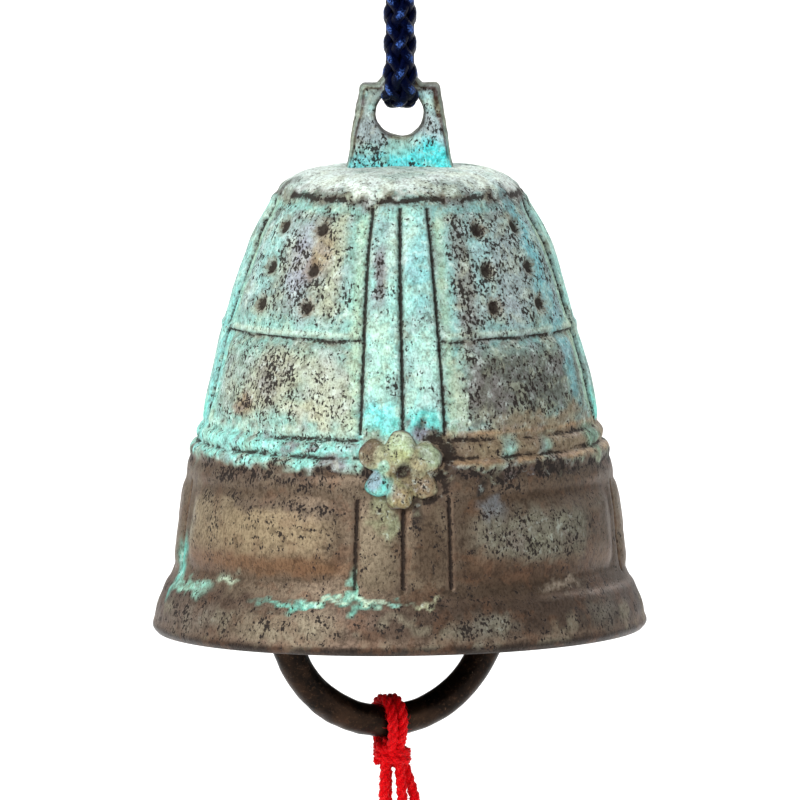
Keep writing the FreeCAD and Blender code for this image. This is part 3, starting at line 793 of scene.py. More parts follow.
def paint_upper(paint, surface, left):
    """The four quarters above the belt: grey with dark specks in the middle, turquoise near the bands."""
    upper = paint.between(25.8, 60)
    inner = [smooth(0.4, -2.6, distance) for distance in surface.panel]
    right = 1 - left
    paint.lay(upper, (142, 196, 186), 0.3, 0.0)
    # Painted shade: the right half a little darker.
    paint.lay(upper * right, (128, 178, 176), 0.35, 0.0)
    paint.lay(inner[2] * (0.8 + 0.2 * surface.broad), (134, 144, 138), 0.8)
    paint.lay(inner[2] * smooth(0.1, 1.2, surface.middle), (166, 192, 190), 0.6)
    paint.lay(inner[2] * right * 0.75, (156, 182, 180), 0.9)
    paint.lay(inner[1] * (0.75 + 0.2 * surface.broad), (152, 164, 148), 0.74)
    # Painted light and shade: the middle panels darker on the right half, and paler in places on the left half.
    paint.lay(inner[1] * right * 0.9, (100, 106, 98), 0.62, 0.25)
    paint.lay(inner[1] * left * smooth(0.0, 1.1, surface.broad), (184, 194, 172), 0.55)
    ragged_line = ridge(surface.height, 51.7, 0.3) + 0.8 * ridge(surface.height, 36.6, 0.5)
    paint.lay(ragged_line * smooth(0.2, -0.6, np.minimum(surface.panel[2], surface.panel[1])), (110, 96, 86), 1.0)
    # Painted highlight along the upper edge of the step line.
    step_highlight = ridge(surface.height, 38.0, 0.3) * smooth(0.4, 1.4, surface.from_edge)
    paint.lay(step_highlight * 0.7, (198, 218, 200), 0.1)
    rim = ridge(surface.panel[1], 0.3, 0.7)
    paint.lay(rim * 0.6 * smooth(-0.6, 0.8, surface.small), (138, 124, 112), 0.55)
    frame_strip = ridge(surface.from_edge, 1.0, 0.7) * paint.between(26, 52)
    paint.lay(frame_strip * 0.6, (172, 202, 170), 0.2)


def paint_lower(paint, surface, left):
    """The four quarters below the belt and the flared lip: brown, with paler cushions and rust, lighter on the left and
    darker on the right as painted light and shade, with painted shade in the valleys.
    """
    lower = smooth(22.6, 21.4, paint.height)
    right = 1 - left
    paint.lay(lower, (112, 98, 82), 0.3, 0.85)
    # Painted shade: the right half darker.
    paint.lay(lower * right * 0.8, (88, 74, 61), 0.34, 0.85)
    # Painted shade in the valley round each lower panel, deeper on the right half, and in the valley above the flare on
    # the right.
    valley = ridge(surface.panel[0], 0.5, 0.9)
    paint.lay(lower * valley * (0.45 + 0.25 * right), (78, 61, 46), 0.3, 0.9)
    paint.lay(ridge(paint.height, 7.4, 1.1) * right * 0.6, (60, 45, 33), 0.3, 0.9)
    pillow = smooth(0.5, -3.0, surface.panel[0])
    # Paler cushions on the left half: partly the bronze's own tone, partly painted light.
    paint.lay(pillow * left * 0.9, (140, 124, 100), 0.42, 0.7)
    paint.lay(pillow * right * smooth(-0.8, 0.6, surface.middle + surface.broad) * 0.7, (112, 112, 98), 0.62, 0.45)
    rust = ridge(surface.height, 10.2, 1.3) * smooth(1.0, -0.5, surface.panel[0])
    paint.lay(rust * (0.35 + 0.4 * left), (112, 80, 55), 0.2, 0.9)
    paint.lay(smooth(7.0, 6.0, paint.height), (92, 76, 64), 0.42, 0.85)
    # Painted shade: the flare darker on the right half.
    paint.lay(smooth(7.0, 6.0, paint.height) * right * 0.8, (70, 57, 47), 0.4, 0.85)
    speckled = smooth(5.6, 4.0, paint.height) * smooth(0.4, 1.2, surface.small * 0.6 + surface.middle)
    paint.lay(speckled * 0.7, (130, 124, 106), 0.66, 0.5)
    # Painted highlight in a band just above the lip's lower edge, and painted shade on the edge itself.
    paint.lay(ridge(surface.height, 1.7, 0.5) * 0.6, (126, 108, 92), 0.3, 0.8)
    paint.lay(smooth(1.25, 0.75, surface.height) * 0.9, (40, 31, 26), 0.3, 0.9)


def paint_belt(paint, surface, left):
    belt = smooth(22.1, 22.7, paint.height) * smooth(27.0, 26.0, paint.height)
    paint.lay(belt, (136, 122, 98), 0.45, 0.5)
    green = smooth(0.2, 0.75, left + 0.25 * surface.middle)
    paint.lay(belt * green, (146, 222, 212), 0.42, 0.0)
    # Painted highlight along the top of the ledge, on the turquoise left.
    paint.lay(belt * green * ridge(surface.height, 26.4, 0.5) * 0.6, (206, 240, 226), 0.1, 0.0)
    worn = belt * green * smooth(0.9, 1.3, surface.small + 0.5 * surface.middle)
    paint.lay(worn * 0.6 * smooth(-62, -52, surface.turn), (140, 128, 132), 0.4, 0.2)
    # Painted highlights along the tops of the ledge and the bead, on the tan right.
    for height, wide in ((26.3, 0.3), (22.9, 0.4)):
        paint.lay(ridge(surface.height, height, wide) * 0.7 * (1 - green), (172, 142, 108), 0.2, 0.4)
    crust = ridge(paint.height, 21.5, 0.65) * smooth(-1.6, 0.0, surface.middle + 0.4 * surface.broad)
    paint.lay(crust, (74, 63, 54), 1.3)
    paint.lay(crust * (1 - left) * 0.6, (58, 47, 38), 1.3, 0.3)
    paint.lay(ridge(surface.height, 19.6, 0.5) * smooth(-0.2, 0.8, surface.middle) * 0.8, (104, 90, 76), 0.85)


def paint_bands(paint, surface):
    inside = smooth(0.1, -0.5, surface.upper_strip)
    paint.lay(inside, (158, 214, 206), 0.2, 0.0)
    paint.lay(inside * smooth(0.2, 1.2, surface.middle), (148, 186, 180), 0.4)
    paint.lay(inside * smooth(0.6, 1.5, surface.broad + surface.small * 0.5), (188, 226, 214), 0.1)
    lower = smooth(0.1, -0.5, surface.lower_strip)
    paint.lay(lower * 0.8, (118, 104, 86), 0.28, 0.9)
    end = inside * smooth(30.0, 27.5, paint.height)
    paint.lay(end * 0.9, (120, 226, 214), 0.05)


def paint_crown(paint, surface):
    crown = smooth(53.7, 54.2, paint.height)
    paint.lay(crown, (208, 224, 218), 0.3, 0.0)
    paint.lay(crown * smooth(0.5, 1.3, surface.middle + surface.small * 0.4), (178, 202, 194), 0.45)
    shade = ridge(paint.height, 53.4, 0.8) * smooth(-1.4, 0.4, surface.middle)
    paint.lay(shade * 0.8, (92, 74, 64), 0.7, 0.1)


# Patches on the front: turn, height, how wide in degrees and tall in millimetres, colour, specks, bare metal.
FRONT_MARKS = [
    (-7.0, 44.6, 5.5, 9, (124, 118, 124), 0.9, 0.0),
    (-8.0, 50.0, 8, 5, (140, 184, 180), 0.4, 0.0),
    (7.0, 46.0, 9, 10, (140, 206, 208), 0.15, 0.0),
    (7.5, 34.0, 8, 11, (176, 222, 210), 0.1, 0.0),
    (-7.0, 35.0, 7, 12, (172, 220, 204), 0.15, 0.0),
    (-7.5, 28.2, 10, 3.6, (118, 226, 226), 0.05, 0.0),
    (6.5, 28.0, 11, 2.8, (100, 206, 202), 0.1, 0.0),
    (5.5, 26.2, 7, 1.8, (150, 156, 172), 0.2, 0.0),
    (-17.5, 30.0, 6, 8, (184, 194, 170), 0.45, 0.0),
    (-26.0, 46.0, 8, 12, (176, 186, 162), 0.65, 0.0),
    (-40.0, 46.5, 12, 8, (156, 160, 172), 0.85, 0.0),
    (-31.0, 48.0, 9, 5, (162, 148, 118), 0.6, 0.1),
    (-58.0, 47.0, 12, 12, (148, 200, 194), 0.4, 0.0),
    (-24.0, 31.0, 13, 9, (184, 192, 174), 0.6, 0.0),
    (-30.0, 28.6, 18, 2.2, (188, 192, 164), 0.5, 0.0),
    (-54.0, 28.8, 9, 2.6, (140, 118, 92), 0.9, 0.1),
    (-43.0, 32.5, 14, 7, (138, 138, 128), 0.95, 0.0),
    (-64.0, 31.0, 9, 9, (150, 166, 156), 0.7, 0.0),
    (-78.0, 34.0, 8, 20, (132, 214, 210), 0.25, 0.0),
    (32.0, 47.5, 16, 7, (148, 196, 196), 0.85, 0.0),
    (24.0, 43.0, 8, 14, (130, 132, 126), 0.95, 0.0),
    (44.0, 44.0, 14, 12, (150, 168, 170), 0.75, 0.0),
    (60.0, 47.0, 10, 14, (112, 186, 196), 0.35, 0.0),
    (64.0, 36.0, 7, 16, (118, 178, 184), 0.25, 0.0),
    (38.0, 31.5, 30, 6, (98, 104, 98), 0.8, 0.3),
    (26.0, 30.0, 16, 6, (112, 113, 106), 0.6, 0.3),
    (48.0, 27.4, 44, 1.8, (138, 118, 92), 0.3, 0.5),
    (17.0, 30.0, 4, 8, (170, 190, 168), 0.2, 0.1),
    (70.0, 24.5, 12, 3.4, (116, 160, 140), 0.4, 0.0),
    (-33.0, 24.7, 5, 0.9, (120, 112, 118), 0.3, 0.2),
    (-26.0, 24.5, 6, 0.9, (112, 104, 106), 0.4, 0.2),
    (-36.0, 22.9, 7, 0.8, (116, 104, 100), 0.8, 0.2),
    (-18.5, 23.0, 6, 1.9, (150, 148, 154), 0.3, 0.1),
    (-42.0, 14.2, 40, 4.6, (150, 134, 106), 0.45, 0.65),
    (-34.0, 17.4, 46, 1.6, (104, 90, 76), 0.85, 0.6),
    (-62.0, 15.8, 20, 4.0, (146, 132, 108), 0.6, 0.7),
    (-46.0, 20.7, 44, 1.7, (96, 82, 70), 1.1, 0.5),
    (-36.0, 10.2, 48, 1.8, (114, 86, 62), 0.2, 0.9),
    (36.0, 14.0, 32, 5.6, (118, 116, 102), 0.7, 0.4),
    (24.0, 17.6, 9, 2.0, (108, 112, 116), 0.5, 0.5),
    (21.5, 20.0, 2.6, 1.3, (26, 22, 22), 0.4, 0.3),
    (34.0, 9.6, 50, 2.2, (76, 58, 44), 0.25, 0.9),
    (44.0, 7.4, 12, 0.9, (150, 138, 122), 0.3, 0.6),
    (38.0, 20.9, 44, 0.6, (52, 42, 36), 1.0, 0.3),
    (-7.0, 13.0, 9, 9, (130, 118, 98), 0.35, 0.8),
    (7.0, 13.0, 9, 9, (84, 69, 55), 0.35, 0.9),
    (-21.0, 6.1, 30, 0.75, (116, 214, 196), 0.2, 0.0),
    (-13.0, 6.2, 26, 0.45, (206, 232, 204), 0.1, 0.0),
    (-12.4, 8.0, 2.4, 4.0, (136, 214, 192), 0.2, 0.0),
    (-1.0, 6.4, 4.0, 1.0, (130, 206, 190), 0.2, 0.0),
    (6.0, 6.2, 4.0, 0.7, (176, 182, 150), 0.3, 0.1),
    (-77.0, 8.6, 7, 6.0, (110, 206, 192), 0.3, 0.0),
    (-66.0, 6.6, 17, 1.5, (150, 220, 200), 0.35, 0.0),
    (-50.0, 8.0, 7, 1.2, (190, 214, 188), 0.45, 0.1),
    (-70.0, 14.0, 7, 9.0, (150, 142, 122), 0.5, 0.4),
    (-60.0, 3.4, 22, 3.6, (118, 108, 96), 0.72, 0.5),
    (-30.0, 3.2, 26, 3.8, (140, 130, 110), 0.5, 0.6),
    (20.0, 3.2, 14, 3.6, (112, 108, 96), 0.85, 0.5),
    (56.0, 4.0, 14, 3.6, (98, 92, 82), 0.75, 0.6),
    (0.0, 19.2, 26, 2.4, (104, 92, 76), 0.6, 0.6),
    (-8.0, 24.8, 7, 3.0, (132, 118, 92), 0.3, 0.2),
    (-5.5, 17.8, 6, 4.6, (132, 134, 104), 0.3, 0.2),
    (-4.0, 15.2, 3.4, 3.0, (140, 146, 116), 0.3, 0.2),
    (-14.5, 25.2, 3.5, 2.0, (138, 170, 164), 0.2, 0.1),
    (-11.5, 26.2, 4.2, 0.45, (44, 34, 28), 0.6, 0.2),
    (5.2, 26.4, 4.5, 1.5, (146, 154, 172), 0.15, 0.1),
    # Painted shadow in the crevice round the blossom's top and right side.
    (1.2, 27.9, 1.6, 1.2, (66, 50, 40), 0.5, 0.3),
    (4.6, 27.3, 2.8, 1.5, (34, 25, 21), 0.5, 0.3),
    (9.4, 26.1, 5.2, 1.0, (38, 28, 22), 0.5, 0.3),
    (13.0, 24.6, 3.6, 3.4, (28, 20, 16), 0.5, 0.3),
    (13.6, 22.6, 3.0, 2.2, (34, 25, 20), 0.5, 0.3),
    (12.2, 20.8, 2.6, 2.2, (44, 33, 26), 0.5, 0.3),
    (8.0, 18.9, 7.6, 1.6, (50, 38, 30), 0.5, 0.3),
    (3.4, 17.0, 2.6, 2.8, (48, 36, 29), 0.5, 0.3),
    (-22.0, 54.6, 24, 1.6, (226, 242, 234), 0.15, 0.0),
    (26.0, 54.7, 32, 1.7, (150, 168, 162), 0.6, 0.0),
]


def paint_front_marks(paint):
    for turn, height, wide, tall, colour, speckle, bare in FRONT_MARKS:
        paint.lay(paint.blob(turn, height, wide, tall) * 0.85, colour, speckle, bare)


# The bell's inside: its tone, how speckled it is and how bare.
INSIDE_TONE = (74, 60, 50)
INSIDE_SPECKLE = 0.35
INSIDE_BARE = 0.6


def make_bell():
    radius, height, out, up = outside_rows()
    angles = column_angles()
    surface = Surface(radius, height, angles)
    proud = surface.relief() * smooth(0.0, 0.6, height + 0.2)[:, None]
    reach = radius[:, None] + out[:, None] * proud
    level = height[:, None] + up[:, None] * proud
    level = level + LIP_TILT * reach * np.sin(np.radians(angles)) * smooth(9.0, 1.0, height)[:, None]
    turn = np.radians(angles[None, :] + lean(height)[:, None])
    outside = np.stack([reach * np.sin(turn), -reach * np.cos(turn), level], axis=2)

    turn = np.radians(angles)[None, :]
    inner = outline_points(INSIDE, 0.8)
    inner = inner[np.linspace(0, len(inner) - 1, 24).astype(int)][:-1]
    reach, level = inner[:, :1], inner[:, 1:] + 0 * turn
    rough = 0.12 * MIDDLE.at(reach * np.sin(turn), -reach * np.cos(turn), level)
    reach = reach + rough * smooth(0.5, 3.0, inner[:, 1:])
    inside = np.stack([reach * np.sin(turn), -reach * np.cos(turn), level], axis=2)[::-1]

    rows, columns = len(height) + len(inner), len(angles)
    tips = [(0, 0, corners[-1][0][1]) for corners in (INSIDE, OUTLINE)]
    faces = grid_faces(rows, columns)
    last = rows * columns
    faces += fan(last, list(range(columns)), False)
    faces += fan(last + 1, list(range(last - columns, last)), True)
    points = np.vstack([inside.reshape(-1, 3), outside.reshape(-1, 3), tips])
    bell = new_object("bell_casting", points, faces, PATINA)

    paint = paint_bell(surface)
    hidden = np.zeros(len(inner) * columns)
    brown = np.zeros((len(hidden), 3)) + linear(*INSIDE_TONE)
    plain = unmarked(hidden + INSIDE_SPECKLE)
    marks = np.stack([surface.groove_lines(), surface.pit, paint.speckle], axis=2).reshape(-1, 3)
    dress(
        bell,
        np.vstack([brown, paint.colour.reshape(-1, 3), brown[:2]]),
        np.vstack([plain, marks, plain[:2]]),
        np.concatenate([hidden + INSIDE_BARE, paint.bare.ravel(), [INSIDE_BARE] * 2]),
    )
    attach(bell, "bell")
    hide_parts("bell")


# ---------------------------------------------------------------- bell: lug

EYE_HEIGHT = 63.3
EYE_RADIUS = 2.93
LUG_HALF_THICKNESS = 2.25
LUG_FOOT = (6.75, 54.6)
LUG_SHOULDER = (4.85, 66.9)
LUG_CORNER = 0.6
LUG_HUMP = 1.1
# Across the lug's rim, from the eye: distance and share of the half thickness.
EYE_ROUNDING = [(0.0, 0.0), (0.0, 0.35), (0.02, 0.68), (0.12, 0.86), (0.3, 0.96), (0.55, 1.0)]
# The bevel outside, from the outer edge inward.
OUTER_BEVEL = [(0.75, 1.0), (0.6, 0.96), (0.48, 1.0), (0.38, 0.97), (0.14, 0.76), (0.04, 0.6), (0.0, 0.3), (0.0, 0.0)]


def lug_outline(angles):
    """Distances from the eye's centre to the lug's outline, in directions measured from the right, upward."""
    reach = np.arange(EYE_RADIUS, 12.0, 0.01)
    x = np.abs(reach[None, :] * np.cos(angles)[:, None])
    z = EYE_HEIGHT + reach[None, :] * np.sin(angles)[:, None]
    slope = (LUG_FOOT[0] - LUG_SHOULDER[0]) / (LUG_SHOULDER[1] - LUG_FOOT[1])
    beyond_side = x - LUG_SHOULDER[0] - slope * (LUG_SHOULDER[1] - z) + LUG_CORNER
    above = z - LUG_SHOULDER[1] - LUG_HUMP * smooth(2.9, 1.7, x) + LUG_CORNER
    outside = np.minimum(np.maximum(beyond_side, above), 0)
    outside = outside + np.hypot(np.maximum(beyond_side, 0), np.maximum(above, 0)) - LUG_CORNER
    outside = np.maximum(outside, LUG_FOOT[1] - z)
    return reach[np.argmax(outside > 0, axis=1)]


def make_lug():
    """The lug as a ring of sections round its eye, with a bevel outside, spreading where it meets the crown."""
    angles = np.linspace(0, 2 * math.pi, 360, endpoint=False)
    outline = lug_outline(angles)
    vertices, from_outside = [], []
    for angle, outer in zip(angles, outline):
        flat = np.linspace(0.7, outer - EYE_RADIUS - 0.9, 14)
        half = EYE_ROUNDING + [(place, 1.0) for place in flat]
        half += [(outer - EYE_RADIUS - inset, depth) for inset, depth in OUTER_BEVEL]
        section = half + [(place, -depth) for place, depth in half[-2:0:-1]]
        for place, depth in section:
            reach = EYE_RADIUS + place
            x, z = reach * math.cos(angle), EYE_HEIGHT + reach * math.sin(angle)
            spread = 0.9 * math.exp(-max(z - 55.9, 0) / 0.6)
            y = depth * LUG_HALF_THICKNESS + math.copysign(spread, depth) * min(abs(depth) * 1.5, 1)
            vertices.append((x + math.copysign(spread * 0.4, x) * min(abs(x) / 3, 1), y, z))
            from_outside.append(outer - EYE_RADIUS - place)
    points = np.array(vertices)
    normal = unit(points - np.array([0, 0, EYE_HEIGHT]))
    lumps = 0.05 * MIDDLE.at(*points.T) + 0.03 * SMALL.at(*points.T) + 0.015 * TINY.at(*points.T)
    points = points + normal * lumps[:, None]
    columns = len(points) // len(angles)
    lug = new_object("bell_lug", points, grid_faces(len(angles), columns, closed_rows=True), PATINA)
    fix_normals(lug)
    paint_lug(lug, points, np.array(from_outside))
    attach(lug, "bell")


def paint_lug(lug, points, from_outside):
    x, y, z = points.T
    small, middle = SMALL.at(x, y, z), MIDDLE.at(x, y, z)
    tint = Tint(z.shape, (140, 158, 152))
    lay = tint.lay
    from_eye = np.hypot(x, z - EYE_HEIGHT) - EYE_RADIUS
    lay(smooth(-0.4, 1.0, small + middle * 0.6), (156, 196, 192))
    lay(smooth(0.6, 3.2, x) * smooth(0.8, 1.1, from_outside) * 0.8, (186, 232, 232))
    lay(smooth(0.2, 1.3, middle) * 0.6, (124, 114, 104))
    lay(smooth(3.4, 1.2, np.hypot(np.abs(x) - 4.0, (z - 60.0) * 0.7)) * 0.6, (170, 186, 194))
    low = smooth(61.2, 57.6, z + 0.3 * small - 0.15 * x)
    lay(low * (0.65 + 0.35 * smooth(-3, 2, x)), (84, 230, 236))
    lay(smooth(56.6, 56.0, z), (214, 240, 230))
    brown = ridge(from_outside, 0.62, 0.26) + smooth(1.7, 0.6, from_outside) * smooth(61.5, 63.5, z) * (x > 0)
    lay(brown * smooth(56.6, 58.5, z) * 0.95, (62, 42, 29))
    lay(smooth(0.46, 0.32, from_outside) * 0.85, (134, 148, 136))
    lay(smooth(0.15, 0.0, from_outside) * 0.6, (82, 70, 59))
    lay(smooth(0.45, 0.1, from_eye) * 0.85, (66, 54, 46))
    speckle = 0.48 + 0.15 * smooth(0.0, 1.0, small) + 0.25 * smooth(0, -3, x) * smooth(62, 60, z)
    speckle = speckle - 0.3 * smooth(-1.0, 2.5, x) * smooth(60.0, 58.0, z)
    speckle = speckle * smooth(0.3, 0.8, from_outside)
    dress(lug, tint.colour, unmarked(speckle), 0.25 * np.clip(brown, 0, 1))


# ---------------------------------------------------------------- bell: blossom

BLOSSOM_HEIGHT = 22.0
BLOSSOM_PIT = (0.3, 0.1)
# Each petal: direction in degrees from the right, upward, how far out its middle lies, how wide it is and how proud.
PETALS = [
    (88, 2.9, 1.95, 1.0),
    (26, 3.65, 1.85, 1.1),
    (-30, 3.3, 1.7, 1.15),
    (-92, 3.0, 1.65, 1.05),
    (-150, 3.1, 1.55, 1.3),
    (149, 3.9, 1.75, 0.8),
]


def blossom_outline(angles, spin):
    """How far the blossom reaches in each direction: the farther side of whichever petal reaches farthest."""
    reach = np.full_like(angles, 3.1)
    for direction, out, wide, _ in PETALS:
        away = np.abs((angles - math.radians(direction + spin) + math.pi) % (2 * math.pi) - math.pi)
        across = out * np.sin(away)
        edge = out * np.cos(away) + np.sqrt(np.maximum(wide**2 - across**2, 0))
        reach = np.where((across < wide) & (away < 1.2), np.maximum(reach, edge), reach)
    reach = reach + 0.14 * np.sin(9 * angles + spin) + 0.1 * np.sin(14 * angles + 2)
    for _ in range(5):
        reach = (np.roll(reach, 1) + 2 * reach + np.roll(reach, -1)) / 4
    return reach


def make_blossom(name, facing, spin):
    """A worn six-petalled boss, proud of the belt, facing the front (1) or the back (-1)."""
    rings, spokes = 60, 240
    angles = np.linspace(0, 2 * math.pi, spokes, endpoint=False)
    outline = blossom_outline(angles, spin)
    share = np.repeat((np.arange(rings) + 0.5) / rings, spokes)
    u = share * np.tile(outline * np.cos(angles), rings)
    v = share * np.tile(outline * np.sin(angles), rings)
    petals = 0
    for direction, out, wide, proud in PETALS:
        turn = math.radians(direction + spin)
        along = u * math.cos(turn) + v * math.sin(turn)
        across = v * math.cos(turn) - u * math.sin(turn)
        distance = np.hypot((along - out) / (wide * 1.25), across / wide)
        petals = np.maximum(petals, proud * np.clip(1 - distance**3, 0, 1) ** 0.7)
    body = 1.15 * np.sqrt(np.clip(1 - share**4, 0, 1))
    hollow = 0.62 * ridge(np.hypot(u - BLOSSOM_PIT[0], v - BLOSSOM_PIT[1]), 0.0, 0.85)
    lumps = 0.22 * MIDDLE.at(u * 1.6, v * 1.6, u * 0 + facing * 9) + 0.12 * SMALL.at(u, v, u * 0 + facing * 5)
    stand = body + petals * 0.5 - hollow + lumps * smooth(1.0, 0.85, share)
    height = BLOSSOM_HEIGHT + v
    ground = np.interp(height, *outline_radius())
    depth = np.sqrt(np.maximum(ground**2 - u**2, 0)) - 0.1 + stand
    points = np.stack([u * facing, -depth * facing, height], axis=1)
    faces = grid_faces(rings, spokes)
    last = len(points)
    back = np.stack([u[-spokes:] * facing * 0.9, -(depth[-spokes:] - 1.8) * facing, height[-spokes:]], axis=1)
    middle = [[0, -depth[:spokes].mean() * facing, BLOSSOM_HEIGHT]]
    points = np.vstack([points, middle, back, [[0, -20.0 * facing, BLOSSOM_HEIGHT]]])
    rim = [last + 1 + spoke for spoke in range(spokes)]
    outer = [(rings - 1) * spokes + spoke for spoke in range(spokes)]
    faces += [(outer[j], outer[(j + 1) % spokes], rim[(j + 1) % spokes], rim[j]) for j in range(spokes)]
    faces += fan(last, list(range(spokes)), False)
    faces += fan(len(points) - 1, rim, True)
    blossom = new_object(name, points, faces, PATINA)
    fix_normals(blossom)
    paint_blossom(blossom, points, np.concatenate([share, [0], np.ones(spokes + 1)]), facing)
    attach(blossom, "bell")


def outline_radius():
    """Heights and radii of the bell's outline below the crown, for looking up its radius at a height."""
    points = outline_points(OUTLINE, SOFTENING)
    below = points[(points[:, 1] > 1.0) & (points[:, 1] < 53.0)]
    return below[:, 1], below[:, 0]


# Spots on the blossom, from its middle: across, up, size, colour and strength.
BLOSSOM_SPOTS = [
    (0.2, 3.2, 1.7, (176, 196, 156), 1.0),
    (0.0, 1.6, 1.2, (166, 172, 120), 0.8),
    (3.6, 2.0, 1.6, (150, 166, 136), 1.0),
    (2.4, 0.9, 1.0, (150, 134, 98), 0.8),
    (3.2, -1.9, 1.5, (146, 128, 100), 1.0),
    (0.5, -3.2, 1.4, (150, 136, 100), 1.0),
    (-4.2, 2.4, 1.9, (118, 104, 84), 1.0),
    (-4.7, 2.9, 0.7, (104, 90, 92), 0.6),
    (-2.9, -1.6, 1.9, (118, 214, 208), 1.0),
    (-3.0, -0.9, 1.1, (146, 178, 190), 1.0),
    (-1.8, 0.4, 0.8, (128, 200, 184), 0.7),
    (*BLOSSOM_PIT, 1.15, (44, 32, 26), 1.0),
    (1.5, -0.7, 0.8, (88, 72, 56), 0.7),
]


def paint_blossom(blossom, points, share, facing):
    x, y, z = points.T
    u, v = x * facing, z - BLOSSOM_HEIGHT
    small, middle = SMALL.at(x, y, z), MIDDLE.at(x, y, z)
    tint = Tint(z.shape, (142, 140, 106))
    tint.lay(smooth(0.2, 1.2, middle + 0.4 * small) * 0.8, (160, 166, 132))
    tint.lay(smooth(0.3, 1.2, -middle + 0.5 * small) * 0.8, (120, 106, 80))
    for across, up, size, tone, strength in BLOSSOM_SPOTS:
        distance = np.hypot(u - across, v - up) + 0.2 * small
        tint.lay(smooth(size * 1.2, size * 0.6, distance) * strength, tone)
    # Painted shade round the blossom's foot, where it meets the belt.
    tint.lay(smooth(0.93, 1.0, share) * 0.8, (70, 54, 42))
    speckle = 0.2 + 0.25 * smooth(0.0, 1.0, small)
    glossy = smooth(1.9, 1.2, np.hypot(u + 2.9, v + 1.5))
    dress(blossom, tint.colour, unmarked(speckle), 0.12 + 0.2 * glossy)


# ---------------------------------------------------------------- clapper

YAW = math.radians(25.0)
CLAPPER_X = -1.4
RING_HEIGHT = 2.85
RING_RADIUS = 14.3
RING_SECTION = 1.93
STAPLE_BAR = 49.8
# Radius of the wire of staple and link, radii inside the link's eyes, and how loosely the eyes hang.
WIRE = 0.8
UPPER_EYE = 1.5
LOWER_EYE = 2.6
EASE = 0.1


def beside(along, across, height):
    """A point of the clapper: along the ring's plane and across it, from the clapper's upright axis."""
    return (
        CLAPPER_X + along * math.cos(YAW) - across * math.sin(YAW),
        along * math.sin(YAW) + across * math.cos(YAW),
        height,
    )


def make_ring():
    """The clapper ring, cast, a little uneven, with a flat worn at its top where the link's eye rubs."""
    rows, sides = 260, 40
    vertices = []
    for i in range(rows):
        angle = 2 * math.pi * i / rows
        worn = 0.12 * math.exp(-(((angle - math.pi / 2) / 0.12) ** 2))
        section = RING_SECTION - worn + 0.03 * math.sin(3 * angle + 1) + 0.02 * math.sin(11 * angle)
        for j in range(sides):
            turn = 2 * math.pi * j / sides
            reach = RING_RADIUS + section * math.cos(turn)
            height = RING_HEIGHT + reach * math.sin(angle)
            vertices.append(beside(reach * math.cos(angle), section * math.sin(turn), height))
    points = np.array(vertices)
    points = points + 0.02 * SMALL.at(*points.T)[:, None]
    ring = new_object("clapper_ring_cast", points, grid_faces(rows, sides, closed_rows=True), DARK_BRONZE)
    fix_normals(ring)
    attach(ring, "ring")
    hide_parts("clapper_ring")


def make_link():
    """One wire: an eye round the staple, a straight shank, and an eye a quarter turn on, round the ring."""
    upper_reach, lower_reach = UPPER_EYE + WIRE, LOWER_EYE + WIRE
    upper_middle = STAPLE_BAR - (UPPER_EYE - WIRE - EASE)
    lower_middle = RING_HEIGHT + RING_RADIUS + (LOWER_EYE - RING_SECTION - EASE)
    upper = [
        beside(-upper_reach * math.sin(angle), 0.0, upper_middle - upper_reach * math.cos(angle))
        for angle in np.radians(np.linspace(-62, 263, 44))
    ]
    lower = [
        beside(0.0, lower_reach * math.sin(angle), lower_middle + lower_reach * math.cos(angle))
        for angle in np.radians(np.linspace(-64, 264, 52))
    ]
    shank_ends = lower_middle + lower_reach - 0.3, upper_middle - upper_reach + 0.3
    shank = [beside(0, 0, z) for z in np.linspace(*shank_ends, 30)]
    wires = Strands()
    for line in (upper, lower, shank):
        wires.tube(line, WIRE * 0.98, 18)
    link = wires.object("clapper_link_wire", BRONZE_WIRE)
    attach(link, "link")
    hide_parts("clapper_link")


def make_staple():
    half, bend, top = 2.7, 1.7, 54.4
    low = STAPLE_BAR + bend
    line = [beside(0, -half, z) for z in np.linspace(top, low, 10)]
    for side, start in ((-1, 180), (1, 270)):
        for step in range(1, 14):
            angle = math.radians(start + 90 * step / 14)
            line.append(beside(0, side * (half - bend) + bend * math.cos(angle), low + bend * math.sin(angle)))
    line += [beside(0, half, z) for z in np.linspace(low, top, 10)]
    wires = Strands()
    wires.tube(evenly(line, 0.3), WIRE, 18)
    staple = wires.object("clapper_staple_wire", BRONZE_WIRE)
    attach(staple, "bell")
    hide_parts("clapper_staple")


# ---------------------------------------------------------------- hanging cord

CORD_DIAMETER = 3.6
# Front leg, the turn under the lug's top bar, and back leg: metres in the row's frame.
CORD_ROUTE = [
    (0, -0.0019, 0.0076),
    (0, -0.00417, -0.002),
    (0, -0.00395, -0.0131),
    (0, -0.0039, -0.0209),
    (0, 0.0039, -0.0209),
    (0, 0.00395, -0.0131),
    (0, 0.00417, -0.002),
    (0, 0.0019, 0.0076),
]
CARRIERS = 4
LAY_LENGTH = 14.4


def above_lip(points):
    return np.asarray(points) / MM + (0, 0, HOOK_HEIGHT)


